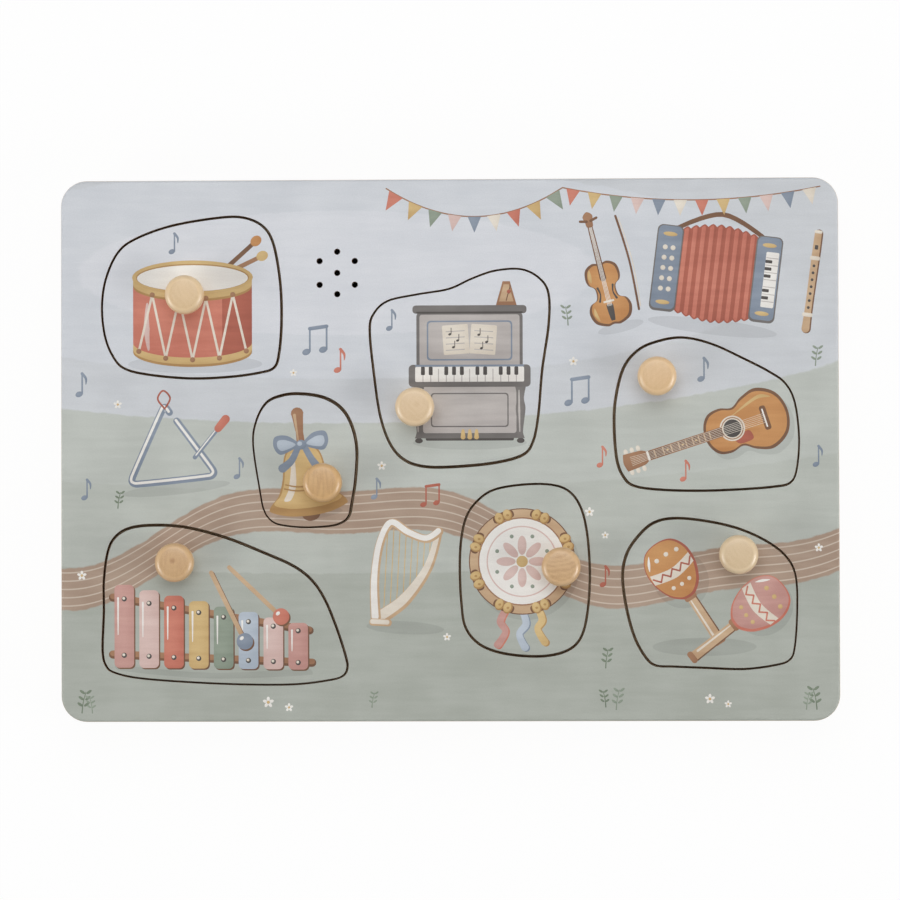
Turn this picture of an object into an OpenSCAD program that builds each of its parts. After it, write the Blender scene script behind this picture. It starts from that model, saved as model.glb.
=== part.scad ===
// Wooden sound puzzle: a hollow plywood board with seven picture pieces that lift out by turned knobs.
// A light sensor under each piece starts its sound, which comes out of the small holes in the face.
// Sizes are in millimetres. The back lies on z = 0, the picture faces up and its top edge points to +Y.

/* [Board] */
// Width of the board
board_w = 300; // [285:1:340]
// Height of the board, as the picture is looked at
board_h = 209; // [200:1:240]
// Radius of the board's corners
corner_r = 10; // [4:0.5:14]
// Thickness of the printed top board and of the pieces cut from it
top_t = 6; // [5.5:0.5:9]
// Thickness of the floor under the pieces
floor_t = 2.5; // [2.5:0.5:4]
// Thickness of the back cover
back_t = 3; // [2.5:0.5:4]
// Width of the battens round the hollow
rail_w = 9; // [8:0.5:11]
// Width of the cut round each piece
cut_gap = 0.8; // [0.7:0.05:1.1]

/* [Knobs] */
// Diameter of a knob's head
knob_d = 15; // [13:0.5:18]
// Height of a knob above its piece
knob_h = 10.5; // [9:0.5:14]
// Diameter of a knob's foot
knob_foot_d = 11; // [9:0.5:12]
// Height over which the foot flares out to the head
knob_flare_h = 5; // [3:0.5:6]
// Radius of the rounded edge of the head
knob_edge_r = 2.3; // [1:0.1:2.5]
// Diameter of the spigot under a knob
spigot_d = 6; // [5:0.5:8]
// Length of the spigot under a knob
spigot_l = 4.5; // [3:0.5:5]
// Gap for glue and for fixed fits, on each side
glue_gap = 0.05; // [0.03:0.01:0.08]

/* [Speaker] */
// Outer diameter of the speaker
speaker_d = 29; // [28:0.5:32]
// Diameter of the speaker's window in the floor
speaker_window_d = 22; // [20:0.5:23]
// Thickness of the foam ring on the speaker
gasket_t = 0.8; // [0.8:0.1:1.2]
// Width of the foam ring on the speaker
gasket_w = 1.6; // [1.2:0.1:1.8]
// Depth of the speaker's basket
basket_h = 5; // [4.5:0.1:5.5]
// Diameter of the speaker's magnet
magnet_d = 16; // [14:0.5:17]
// Height of the speaker's magnet
magnet_h = 3.6; // [3:0.1:4]
// Diameter of each sound hole
sound_hole_d = 2.2; // [1.5:0.1:3]
// Radius of the ring of sound holes
hole_ring_r = 8.2; // [6:0.1:9]
// Angle of the side holes above and below the middle one
hole_splay = 34; // [28:1:40]

/* [Light sensors] */
// Diameter of a light sensor
sensor_d = 5; // [4:0.1:6]
// Height of a light sensor
sensor_h = 2; // [1.5:0.1:2.2]
// Gap round a light sensor in its window
sensor_gap = 0.2; // [0.1:0.05:0.4]
// Diameter of the cap that holds a light sensor
holder_d = 8; // [7.5:0.1:9]
// Height of the cap that holds a light sensor
holder_h = 2.2; // [2:0.1:2.6]
// Distance from a light sensor to the face where its lead leaves the cap
outlet_l = 5.5; // [5:0.1:7]
// Width of the outlet of the cap
outlet_w = 4; // [3.5:0.1:5]

/* [Circuit board] */
// Width of the circuit board
circuit_w = 46; // [42:1:52]
// Height of the circuit board
circuit_h = 30; // [28:1:36]
// Thickness of the circuit board
circuit_t = 1.2; // [0.8:0.1:1.6]
// Distance of screws and solder pads from the circuit board's edges
circuit_edge = 3.5; // [3:0.1:4]
// Distance between solder pads that lie side by side
pad_pitch = 5; // [4.5:0.1:5.5]
// Length of the spacers between floor and circuit board
spacer_h = 4; // [3.7:0.1:4.4]
// Diameter of the spacers
spacer_d = 6; // [5:0.1:6.5]
// Diameter of the moulded drop over the sound chip
chip_d = 10; // [8:0.5:12]
// Height of the moulded drop over the sound chip
chip_h = 2.2; // [1.5:0.1:3]

/* [Leads] */
// Diameter of one wire
wire_d = 1; // [0.8:0.05:1.1]
// Distance between the two wires of a lead
wire_pitch = 1.3; // [1.2:0.05:1.6]
// Bend radius of a wire at its solder pad
wire_bend = 2.2; // [2:0.1:2.4]
// Gap between the wires and the floor that they run under
wire_floor_gap = 0.4; // [0.2:0.05:0.6]
// Height of the battery and switch leads over the inside of the back cover
low_lead_h = 3.5; // [3:0.1:3.8]

/* [Battery tray] */
// Diameter of a cell
cell_d = 10.5; // [10:0.1:11]
// Length of a cell with its pole
cell_l = 44.5; // [43:0.5:46]
// Diameter of a cell's pole
pole_d = 3.8; // [3:0.1:5]
// Height of a cell's pole
pole_h = 1; // [0.8:0.1:1.2]
// Distance between the axes of the two cells
cell_pitch = 11.5; // [11.4:0.1:13]
// Gap round the cells in the tray
cell_gap = 0.3; // [0.2:0.05:0.4]
// Thickness of the tray's walls
tray_wall = 1; // [0.8:0.1:1.5]
// Length of the block for a lid screw at each end of the tray
boss_l = 6.5; // [5.5:0.1:8]
// Width of the tray's rim on the inside of the back cover
tray_rim_w = 3; // [2:0.1:4]
// Distance of the tray's rim from the front rail
tray_off_rail = 6.2; // [3:0.1:10]
// Distance of the battery lead from the middle of the tray
tray_outlet_x = 28.5; // [27:0.1:30]
// Thickness of the tray's rim
tray_rim_t = 1.5; // [1:0.1:1.8]
// Height of the rib between the cells
rib_h = 4; // [2:0.1:4.5]
// Thickness of the rib between the cells
rib_t = 0.5; // [0.4:0.05:0.6]
// Gap between the tray and the floor over it
tray_headroom = 0.6; // [0.4:0.1:2]
// Thickness of the battery lid
lid_t = 2; // [2:0.1:3]
// Depth of the battery lid below the back face
lid_recess = 0.4; // [0.3:0.05:0.6]
// Width of a grip groove in the lid
groove_w = 0.8; // [0.5:0.1:1]
// Depth of a grip groove in the lid
groove_depth = 0.5; // [0.3:0.1:0.8]
// Thickness of the contact plates
plate_t = 0.4; // [0.3:0.05:0.5]
// Width of a contact plate
plate_w = 8; // [7:0.1:9]
// Length of a contact spring as fitted
spring_l = 5.2; // [4.8:0.1:6]
// Diameter of a contact spring to the middle of its wire
spring_d = 5.6; // [5:0.1:6.5]
// Diameter of the spring wire
spring_wire_d = 0.6; // [0.5:0.05:0.65]

/* [Switch] */
// Distance of the switch body from the front rail
switch_off_rail = 12.6; // [8:0.1:20]
// Length of the switch body
switch_l = 11.6; // [11.2:0.1:13]
// Width of the switch body
switch_w = 5.8; // [5.6:0.1:7]
// Height of the switch body
switch_h = 5; // [4.8:0.1:6]
// Length of the switch over its two ears
ear_span = 20; // [19.5:0.1:23]
// Thickness of the ears and of the switch's face
ear_t = 0.8; // [0.6:0.1:1]
// Length of the slider's button
button_l = 3.6; // [3:0.1:4]
// Width of the slider's button
button_w = 3; // [2.5:0.1:3.5]
// Depth of the button's end below the back face
button_recess = 0.6; // [0.5:0.05:0.9]
// Travel of the slider
travel = 3; // [2:0.1:3.2]
// Length of the carriage inside the switch
carriage_l = 6; // [5:0.1:6.2]
// Width of the carriage inside the switch
carriage_w = 4.2; // [4:0.1:4.3]
// Thickness of the carriage inside the switch
carriage_t = 1.1; // [0.8:0.1:1.4]
// Length of the thumb recess round the switch
dish_l = 14; // [12:0.5:18]
// Width of the thumb recess round the switch
dish_w = 8; // [7:0.5:11]
// Depth of the thumb recess round the switch
dish_depth = 1; // [0.5:0.1:1.2]

/* [Screws] */
// Head diameter of the back cover's screws
cover_head_d = 5.6; // [5:0.1:6]
// Shank diameter of the back cover's screws
cover_screw_d = 2.8; // [2.5:0.1:3]
// Length of the back cover's screws
cover_screw_l = 13; // [10:0.5:13.5]
// Distance of the outer screws from the middle one along the long rails
cover_screw_span = 110; // [90:1:125]
// Depth of the screw heads below the back face
head_sink = 0.2; // [0.1:0.05:0.3]
// Head diameter of the lid screws
lid_head_d = 4.2; // [4:0.1:4.6]
// Shank diameter of the lid screws
lid_screw_d = 2.2; // [2:0.1:2.4]
// Length of the lid screws
lid_screw_l = 8; // [6:0.5:9]
// Shank diameter of the small screws inside
small_screw_d = 2; // [1.8:0.1:2.2]
// Head diameter of the small screws inside
small_head_d = 3.8; // [3.4:0.1:4]
// Head height of the small screws inside
small_head_h = 1.3; // [1:0.1:1.6]
// Depth of the small screws in the wood
small_screw_bite = 1.6; // [1.2:0.1:1.8]
// Running gap between pieces that move on each other
run_gap = 0.3; // [0.3:0.05:0.4]

/* [Hidden] */
// Fine circles, and how far a cut runs past the face that it opens
$fn = 64;
past = 1;

// Heights of the layers, worked out from the battery tray, which is the tallest piece inside
lid_top = lid_recess + lid_t;
cell_z = lid_top + cell_gap + cell_d / 2;
roof_z = cell_z + cell_d / 2 + cell_gap;
tray_top = roof_z + tray_wall;
floor_z = tray_top + tray_headroom;
top_z = floor_z + floor_t;
face_z = top_z + top_t;

// The drawing that the cut lines and places below were laid out on; it stretches with the board
layout_w = 300;
layout_h = 209;
function on_board(p) = [p.x * board_w / layout_w, p.y * board_h / layout_h];

// Each picture piece: points along its cut line, clockwise from the left, then the place of its knob,
// the place of its light sensor, how far it lies off the middle of its opening, and its solder pad
drum = [
    [[-134, 56], [-132.5, 66.5], [-128, 76.5], [-121, 82], [-107, 87], [-89, 90], [-79, 90],
     [-71.5, 86.5], [-67.5, 79.5], [-65, 65], [-64.5, 50], [-65.5, 37.5], [-67.5, 32], [-73.5, 30],
     [-85, 28.5], [-100, 28], [-116, 29.5], [-125.5, 32], [-130, 37], [-133, 45]],
    [-101.5, 60], [-97, 52], [-0.1, 0], [-1, 1]];
piano = [
    [[-30.5, 46], [-29, 52.5], [-23.5, 57.5], [-12, 60], [0, 62], [9, 66], [18, 69],
     [28, 69.5], [35, 66], [38.5, 60], [38.5, 48], [36, 31], [34.5, 14], [32.5, 3.5],
     [28.5, -2], [18, -5], [3, -6.5], [-9, -6.5], [-17, -4], [-22.5, 2], [-26.5, 13],
     [-29, 30]],
    [-13, 16.5], [10, 40], [0, 0.2], [-1, 4]];
guitar = [
    [[63.5, 8], [64, 19], [67, 31], [72.5, 38], [80, 41.5], [90, 43], [101, 40.5],
     [113, 35], [123.5, 29.5], [129.5, 25], [133, 17.5], [134.5, 4], [133.5, -8], [131, -13],
     [125, -14.5], [112, -15.5], [96, -16], [80.5, -15.5], [71, -14], [67, -10.5], [64.5, -4]],
    [80, 28], [100, 13], [0.2, 0], [1, 1]];
bell = [
    [[-75.5, 2], [-74.5, 11], [-70.5, 18.5], [-64, 21.5], [-56.5, 22], [-48, 20.5], [-41.5, 16.5],
     [-37.5, 10], [-35.5, 1], [-36, -11], [-37.5, -20.5], [-38.5, -25], [-41, -27.5], [-46, -29],
     [-56, -29.5], [-65, -28.5], [-69, -26.5], [-71.5, -22.5], [-73, -15]],
    [-48.5, -12.5], [-55, -3], [-0.25, -0.25], [-1, 0]];
xylophone = [
    [[-133.5, -62], [-133.5, -50], [-132, -39], [-129, -33], [-123, -29.5], [-113, -28.5], [-101, -29.5],
     [-86, -33.5], [-71, -39.5], [-60, -44.5], [-53, -50], [-48, -57.5], [-43.5, -68.5], [-40, -79.5],
     [-39.5, -84], [-41.5, -87], [-47, -88.5], [-60, -90], [-80, -90], [-102, -89], [-120, -87.5],
     [-129, -85.5], [-132.5, -83], [-134, -77]],
    [-105.5, -43], [-90, -62], [0, -0.2], [-1, -1]];
tambourine = [
    [[4, -46], [4.5, -35], [6.5, -26], [10.5, -20], [17, -15.5], [28, -13.5], [39, -13.5],
     [46, -16], [50.5, -22], [53, -32], [54, -46], [53.5, -59], [51.5, -70], [47.5, -76],
     [40, -79], [30, -79.5], [19, -78], [11, -74.5], [6, -68], [4.5, -58]],
    [43, -45], [29, -46], [0, 0.1], [-1, -4]];
maracas = [
    [[66.5, -49], [68, -40.5], [72, -34], [78, -28.5], [86, -26.5], [98, -27.5], [111, -30.5],
     [122, -35.5], [129.5, -41.5], [133, -49], [133.5, -62], [132.5, -76], [130.5, -81], [125, -83],
     [113, -84.5], [98, -84], [86, -83.5], [79, -83], [75, -79.5], [71, -72], [68, -61]],
    [111, -40.5], [100, -55], [0.2, -0.1], [1, 0]];
pictures = [drum, piano, guitar, bell, xylophone, tambourine, maracas];

function cut_line(picture) = smooth_loop([for (p = picture[0]) on_board(p)]);
function knob_at(picture) = on_board(picture[1]);
function sensor_at(picture) = on_board(picture[2]);
function seat_shift(picture) = picture[3];
function lead_pad(picture) = pad_place(picture[4]);

// A smooth closed curve through a list of points
curve_steps = 6;
function curve_at(a, b, c, d, t) =
    (2 * b + (c - a) * t + (2 * a - 5 * b + 4 * c - d) * t * t + (3 * b - a - 3 * c + d) * t * t * t) / 2;
function smooth_loop(points) = let (n = len(points)) [
    for (i = [0 : n - 1], step = [0 : curve_steps - 1])
        curve_at(points[(i + n - 1) % n], points[i], points[(i + 1) % n], points[(i + 2) % n],
                 step / curve_steps)];

// The same curve, moved outwards by a distance
function moved_out(loop, distance) = let (n = len(loop)) [
    for (i = [0 : n - 1])
        let (along = loop[(i + 1) % n] - loop[(i + n - 1) % n])
            loop[i] + distance * [-along.y, along.x] / norm(along)];

// Places of the speaker and the circuit board
speaker_at = on_board([-43, 68.5]);
circuit_at = on_board([45, -3]);

// Solder pads: the first number picks the left (-1) or right (1) edge, and the second counts pads from its
// middle. A second number of 4 or -4 stands for the upper or lower edge, where the first one counts pads.
circuit_in = [circuit_w / 2 - circuit_edge, circuit_h / 2 - circuit_edge];
function pad_place(pad) = circuit_at + (abs(pad.y) == 4
    ? [pad.x * pad_pitch, sign(pad.y) * circuit_in.y]
    : [pad.x * circuit_in.x, pad.y * pad_pitch]);
speaker_pad = pad_place([-2.4, 4]);
battery_pad = pad_place([-2.6, -4]);
switch_pad = pad_place([1.4, -4]);

// Heights of the circuit board and of the leads
circuit_top = floor_z - spacer_h;
circuit_z = circuit_top - circuit_t;
lead_z = floor_z - wire_floor_gap - wire_d / 2;
low_lead_z = back_t + low_lead_h;

// Inside and outside of the battery tray
bay_l = cell_l + spring_l + 2 * plate_t;
tray_in_l = bay_l + 2 * boss_l;
tray_in_w = cell_pitch + cell_d + 2 * cell_gap;
tray_out_l = tray_in_l + 2 * tray_wall;
tray_out_w = tray_in_w + 2 * tray_wall;
tray_foot_z = head_sink;
lid_screw_x = (bay_l + boss_l) / 2;

// The switch and the outlet of the battery tray lie straight below their solder pads, off the front rail
rail_face_y = rail_w - board_h / 2;
switch_at = [switch_pad.x, rail_face_y + switch_off_rail + switch_w / 2];
tray_at = [battery_pad.x - tray_outlet_x, rail_face_y + tray_off_rail + tray_rim_w + tray_out_w / 2];

// Places of the back cover's screws, in the middle of the battens
cover_screws_at = concat(
    [for (x = [-1 : 1], y = [-1, 1]) [x * cover_screw_span, y * (board_h - rail_w) / 2]],
    [for (x = [-1, 1]) [x * (board_w - rail_w) / 2, 0]]);

// Small features: vents of the basket, the flange of the speaker, the tag strip, the drive of a screw
flange_t = 1;
basket_wall = 0.8;
vent = [4, 6, 2];
tag_strip = [3.4, 7, 2.8];
tag_gap = 0.4;
cone_t = 0.25;
drive_w = 0.7;
drive_depth = 1;
drive_share = 0.6;
tip_share = 1 / 3;
groove_pitch = 2;
grooves = 4;

// Outline of the board with its round corners
module board_outline() {
    square([board_w - 2 * corner_r, board_h], center = true);
    square([board_w, board_h - 2 * corner_r], center = true);
    for (x = [-1, 1], y = [-1, 1])
        translate([x * (board_w / 2 - corner_r), y * (board_h / 2 - corner_r)])
            circle(corner_r);
}

// A layer of the board between two heights
module layer(low, high) {
    translate([0, 0, low])
        linear_extrude(high - low)
            board_outline();
}

// A box centred on the z axis between two heights
module block(length, width, low, high) {
    translate([-length / 2, -width / 2, low])
        cube([length, width, high - low]);
}

// Moves its children to a place on the board
module at(place, z = 0) {
    translate([place.x, place.y, z])
        children();
}

// A countersunk screw that points up, with the flat of its head at z = 0
module countersunk_screw(head_d, shank_d, length) {
    tip = shank_d;
    difference() {
        union() {
            cylinder(h = (head_d - shank_d) / 2, d1 = head_d, d2 = shank_d);
            cylinder(h = length - tip, d = shank_d);
            translate([0, 0, length - tip])
                cylinder(h = tip, d1 = shank_d, d2 = shank_d * tip_share);
        }
        for (turn = [0, 90])
            rotate([0, 0, turn])
                block(drive_w, head_d * drive_share, -past, drive_depth);
    }
}

// The hole for the head and shank of a countersunk screw, with a gap all round
module countersunk_hole(head_d, shank_d, length, gap) {
    translate([0, 0, -past])
        cylinder(h = past, d = head_d + 2 * gap);
    cylinder(h = (head_d - shank_d) / 2, d1 = head_d + 2 * gap, d2 = shank_d + 2 * gap);
    cylinder(h = length, d = shank_d + 2 * gap);
}

// A small screw that points up, with the underside of its head at z = 0
module small_screw(length) {
    rounded = small_head_h / 3;
    cylinder(h = length, d = small_screw_d);
    difference() {
        union() {
            translate([0, 0, rounded - small_head_h])
                cylinder(h = small_head_h - rounded, d = small_head_d);
            translate([0, 0, -small_head_h])
                cylinder(h = rounded, d1 = small_head_d - 2 * rounded, d2 = small_head_d);
        }
        for (turn = [0, 90])
            rotate([0, 0, turn])
                block(drive_w, small_head_d * drive_share, -small_head_h - past, -small_head_h / 2);
    }
}

// A round tube along a path; each normal is square to the path at its point
module swept_tube(path, normals, d, sides) {
    last = len(path) - 1;
    points = [
        for (i = [0 : last])
            let (way = path[min(i + 1, last)] - path[max(i - 1, 0)],
                 across = cross(way / norm(way), normals[i]))
                for (side = [0 : sides - 1])
                    let (turn = 360 * side / sides)
                        path[i] + d / 2 * (cos(turn) * normals[i] + sin(turn) * across)];
    walls = [
        for (i = [0 : last - 1], side = [0 : sides - 1])
            let (a = i * sides + side,
                 b = i * sides + (side + 1) % sides)
                each [[a, a + sides, b + sides], [a, b + sides, b]]];
    start = [for (side = [1 : sides - 2]) [0, side, side + 1]];
    end = [for (side = [1 : sides - 2]) [last * sides, last * sides + side + 1, last * sides + side]];
    polyhedron(points, concat(start, walls, end));
}

// One wire: straight along x, then a quarter turn up or down and straight on to its solder pad
wire_sides = 8;
bend_steps = 4;
module wire(run, rise) {
    turn = [
        for (i = [0 : bend_steps])
            let (a = 90 * i / bend_steps)
                [run - wire_bend + wire_bend * sin(a), 0, sign(rise) * wire_bend * (1 - cos(a))]];
    path = concat([[0, 0, 0]], turn, [[run, 0, rise]]);
    swept_tube(path, [for (p = path) [0, 1, 0]], wire_d, wire_sides);
}

// A lead of two wires from a place to a solder pad, at a height until it bends to the pad's height
module lead(from, to, run_z, pad_z) {
    way = to - from;
    at(from, run_z)
        rotate([0, 0, atan2(way.y, way.x)])
            for (side = [-1, 1])
                translate([0, side * wire_pitch / 2, 0])
                    wire(norm(way), pad_z - run_z);
}

// A point some way from one place towards another
function towards(from, to, distance) = from + distance * (to - from) / norm(to - from);
function heading(from, to) = atan2(to.y - from.y, to.x - from.x);

// Printed plywood face with an opening for each piece and the sound holes over the speaker
module top_board() {
    hole_turns = [hole_splay, 90, 180 - hole_splay, 180 + hole_splay, 270, 360 - hole_splay];
    holes = concat([[0, 0]], [for (turn = hole_turns) hole_ring_r * [cos(turn), sin(turn)]]);
    color([0.71, 0.73, 0.7])
        difference() {
            layer(top_z, face_z);
            for (picture = pictures)
                translate([0, 0, top_z - past])
                    linear_extrude(top_t + 2 * past)
                        polygon(moved_out(cut_line(picture), cut_gap / 2));
            for (hole = holes)
                at(speaker_at + hole, top_z - past)
                    cylinder(h = top_t + 2 * past, d = sound_hole_d);
        }
}

// Plywood floor under the pieces, with windows for the light sensors and the speaker
module recess_floor() {
    color("burlywood")
        difference() {
            layer(floor_z, top_z);
            for (picture = pictures)
                at(sensor_at(picture), floor_z - past)
                    cylinder(h = floor_t + 2 * past, d = sensor_d + 2 * sensor_gap);
            at(speaker_at, floor_z - past)
                cylinder(h = floor_t + 2 * past, d = speaker_window_d);
            for (x = [-1, 1], y = [-1, 1])
                at(circuit_at + [x * circuit_in.x, y * circuit_in.y], floor_z - past)
                    cylinder(h = past + small_screw_bite + glue_gap, d = small_screw_d + 2 * glue_gap);
        }
}

// A batten: the part of the board's outline that a box takes, with pilot holes for the cover's screws
module rail(low, size) {
    color("tan")
        difference() {
            intersection() {
                layer(back_t, floor_z);
                translate([low.x, low.y, 0])
                    cube([size.x, size.y, floor_z]);
            }
            for (place = cover_screws_at)
                at(place, head_sink)
                    cylinder(h = cover_screw_l + glue_gap, d = cover_screw_d + 2 * glue_gap);
        }
}

module rail_front() {
    rail([-board_w / 2, -board_h / 2], [board_w, rail_w]);
}

module rail_back() {
    rail([-board_w / 2, board_h / 2 - rail_w], [board_w, rail_w]);
}

module rail_left() {
    rail([-board_w / 2, rail_w - board_h / 2], [rail_w, board_h - 2 * rail_w]);
}

module rail_right() {
    rail([board_w / 2 - rail_w, rail_w - board_h / 2], [rail_w, board_h - 2 * rail_w]);
}

// Plywood back with the battery opening, the switch slot and countersunk screw holes
module back_cover() {
    color("tan")
        difference() {
            layer(0, back_t);
            for (place = cover_screws_at)
                at(place, head_sink)
                    countersunk_hole(cover_head_d, cover_screw_d, back_t + past, glue_gap);
            at(tray_at)
                block(tray_out_l + 2 * glue_gap, tray_out_w + 2 * glue_gap, -past, back_t + past);
            at(switch_at) {
                block(button_l + travel + 2 * run_gap, button_w + 2 * run_gap, -past, back_t + past);
                block(dish_l, dish_w, -past, dish_depth);
                for (side = [-1, 1])
                    translate([side * (switch_l + ear_span) / 4, 0, back_t - small_screw_bite - glue_gap])
                        cylinder(h = back_t, d = small_screw_d + 2 * glue_gap);
            }
        }
}

module cover_screws() {
    color("silver")
        for (place = cover_screws_at)
            at(place, head_sink)
                countersunk_screw(cover_head_d, cover_screw_d, cover_screw_l);
}

// A picture piece: the printed plywood inside its cut line, with a blind bore for its knob's spigot
module picture_piece(picture, tint) {
    color(tint)
        difference() {
            at(seat_shift(picture), top_z)
                linear_extrude(top_t)
                    polygon(moved_out(cut_line(picture), -cut_gap / 2));
            at(knob_at(picture), face_z - spigot_l - glue_gap)
                cylinder(h = spigot_l + past, d = spigot_d + 2 * glue_gap);
        }
}

module drum_piece() {
    picture_piece(drum, [0.78, 0.49, 0.42]);
}

module piano_piece() {
    picture_piece(piano, [0.71, 0.68, 0.67]);
}

module guitar_piece() {
    picture_piece(guitar, [0.64, 0.49, 0.38]);
}

module bell_piece() {
    picture_piece(bell, [0.78, 0.67, 0.48]);
}

module xylophone_piece() {
    picture_piece(xylophone, [0.79, 0.71, 0.68]);
}

module tambourine_piece() {
    picture_piece(tambourine, [0.85, 0.82, 0.81]);
}

module maracas_piece() {
    picture_piece(maracas, [0.7, 0.51, 0.3]);
}

// A turned knob: spigot, flared foot, straight head and rounded top edge
profile_steps = 8;
module knob(picture) {
    flare = [
        for (i = [0 : profile_steps])
            let (share = (1 - cos(180 * i / profile_steps)) / 2)
                [knob_foot_d / 2 + share * (knob_d - knob_foot_d) / 2, knob_flare_h * i / profile_steps]];
    edge = [
        for (i = [0 : profile_steps])
            let (a = 90 * i / profile_steps)
                [knob_d / 2 - knob_edge_r * (1 - cos(a)), knob_h - knob_edge_r * (1 - sin(a))]];
    spigot = [[0, -spigot_l], [spigot_d / 2, -spigot_l], [spigot_d / 2, 0]];
    color("wheat")
        at(knob_at(picture), face_z)
            rotate_extrude()
                polygon(concat(spigot, flare, edge, [[0, knob_h]]));
}

module drum_knob() {
    knob(drum);
}

module piano_knob() {
    knob(piano);
}

module guitar_knob() {
    knob(guitar);
}

module bell_knob() {
    knob(bell);
}

module xylophone_knob() {
    knob(xylophone);
}

module tambourine_knob() {
    knob(tambourine);
}

module maracas_knob() {
    knob(maracas);
}

// Foam ring that seals the speaker to the floor
module speaker_gasket() {
    color("dimgray")
        at(speaker_at, floor_z - gasket_t)
            difference() {
                cylinder(h = gasket_t, d = speaker_d);
                translate([0, 0, -past])
                    cylinder(h = gasket_t + 2 * past, d = speaker_d - 2 * gasket_w);
            }
}

// Pressed basket of the speaker: flange, conical wall with vents, and a seat for the magnet
flange_w = 2.5;
flange_r = speaker_d / 2;
mouth_r = flange_r - flange_w;
module speaker_frame() {
    seat_r = magnet_d / 2 + 1;
    pole_r = magnet_d / 5;
    wall_r = mouth_r + basket_wall * 0.75;
    profile = [[mouth_r, 0], [flange_r, 0], [flange_r, -flange_t], [wall_r, -flange_t], [seat_r, -basket_h],
        [pole_r, -basket_h], [pole_r, basket_wall - basket_h], [seat_r - basket_wall, basket_wall - basket_h],
        [mouth_r, -flange_t / 2]];
    color("darkgray")
        at(speaker_at, floor_z - gasket_t)
            difference() {
                rotate_extrude()
                    polygon(profile);
                for (turn = [0 : 90 : 270])
                    rotate([0, 0, turn])
                        translate([(wall_r + seat_r) / 2, 0, -basket_h / 2 - flange_t / 4])
                            cube(vent, center = true);
            }
}

// Thin cone of the speaker with a rolled edge and a raised dome, glued on the flange inside the foam ring
module speaker_cone() {
    rim_r = flange_r - gasket_w - glue_gap;
    roll_r = mouth_r - 0.4;
    roll_w = 1.6;
    roll_h = 0.3;
    coil_r = magnet_d / 4;
    dip = basket_h * 0.5;
    dome_h = 0.9;
    roll = [
        for (i = [0 : profile_steps])
            let (a = 180 * i / profile_steps)
                [roll_r - roll_w / 2 * (1 - cos(a)), roll_h * sin(a)]];
    dome = [
        for (i = [0 : profile_steps])
            let (a = 90 * i / profile_steps)
                [coil_r * cos(a), dome_h * sin(a) - dip]];
    lower = concat([[rim_r, 0]], roll, dome);
    upper = [for (i = [len(lower) - 1 : -1 : 0]) lower[i] + [0, cone_t]];
    color("whitesmoke")
        at(speaker_at, floor_z - gasket_t)
            rotate_extrude()
                polygon(concat(lower, upper));
}

module speaker_magnet() {
    chamfer = 0.5;
    color("silver")
        at(speaker_at, floor_z - gasket_t - basket_h)
            rotate_extrude()
                polygon([[0, 0], [magnet_d / 2, 0], [magnet_d / 2, chamfer - magnet_h],
                         [magnet_d / 2 - chamfer, -magnet_h], [0, -magnet_h]]);
}

// Tag strip glued to the floor beside the speaker, where the speaker's lead is soldered
module speaker_terminals() {
    color("sienna")
        at(speaker_at, floor_z - tag_strip.z)
            rotate([0, 0, heading(speaker_at, speaker_pad)])
                translate([speaker_d / 2 + tag_gap, -tag_strip.y / 2, 0])
                    cube(tag_strip);
}

// Circuit board with a screw hole at each corner
module circuit_board() {
    color("seagreen")
        at(circuit_at)
            difference() {
                block(circuit_w, circuit_h, circuit_z, circuit_top);
                for (x = [-1, 1], y = [-1, 1])
                    at([x * circuit_in.x, y * circuit_in.y], circuit_z - past)
                        cylinder(h = circuit_t + 2 * past, d = small_screw_d + 2 * glue_gap);
            }
}

// Moulded black drop that covers the sound chip on the underside of the circuit board
module sound_chip() {
    arc = [
        for (i = [0 : profile_steps])
            let (a = 90 * i / profile_steps)
                [chip_d / 2 * sin(a), -chip_h * cos(a)]];
    color("black")
        at(circuit_at, circuit_z)
            rotate_extrude()
                polygon(concat([[0, 0]], arc));
}

// Parts on the underside of the circuit board: a capacitor, a transistor and a row of resistors
capacitor_d = 5;
capacitor_h = 4.4;
transistor_d = 4.6;
transistor_h = 3.6;
resistor = [3.2, 1.6, 0.6];
parts_gap = 2.4;
module board_parts() {
    column = chip_d / 2 + parts_gap;
    color("midnightblue")
        at(circuit_at) {
            translate([column + capacitor_d / 2, circuit_h / 6, circuit_z - capacitor_h])
                cylinder(h = capacitor_h, d = capacitor_d);
            translate([-column - transistor_d / 2, circuit_h / 6, circuit_z - transistor_h])
                difference() {
                    cylinder(h = transistor_h, d = transistor_d);
                    translate([-transistor_d, transistor_d / 4, -past])
                        cube([2 * transistor_d, transistor_d, transistor_h + 2 * past]);
                }
            for (i = [-1 : 1])
                translate([column, (i - 1.5) * parts_gap - resistor.y, circuit_z - resistor.z])
                    cube(resistor);
        }
}

module board_spacers() {
    color("ivory")
        for (x = [-1, 1], y = [-1, 1])
            at(circuit_at + [x * circuit_in.x, y * circuit_in.y], circuit_top)
                difference() {
                    cylinder(h = spacer_h, d = spacer_d);
                    translate([0, 0, -past])
                        cylinder(h = spacer_h + 2 * past, d = small_screw_d + 2 * glue_gap);
                }
}

module board_screws() {
    color("silver")
        for (x = [-1, 1], y = [-1, 1])
            at(circuit_at + [x * circuit_in.x, y * circuit_in.y], circuit_z)
                small_screw(circuit_t + spacer_h + small_screw_bite);
}

// Light sensors: round cells that stand on their caps and look up through the floor
module light_sensors() {
    rounded = 0.4;
    color("peru")
        for (picture = pictures)
            at(sensor_at(picture), floor_z) {
                cylinder(h = sensor_h - rounded, d = sensor_d);
                translate([0, 0, sensor_h - rounded])
                    cylinder(h = rounded, d1 = sensor_d, d2 = sensor_d - 2 * rounded);
            }
}

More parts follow.
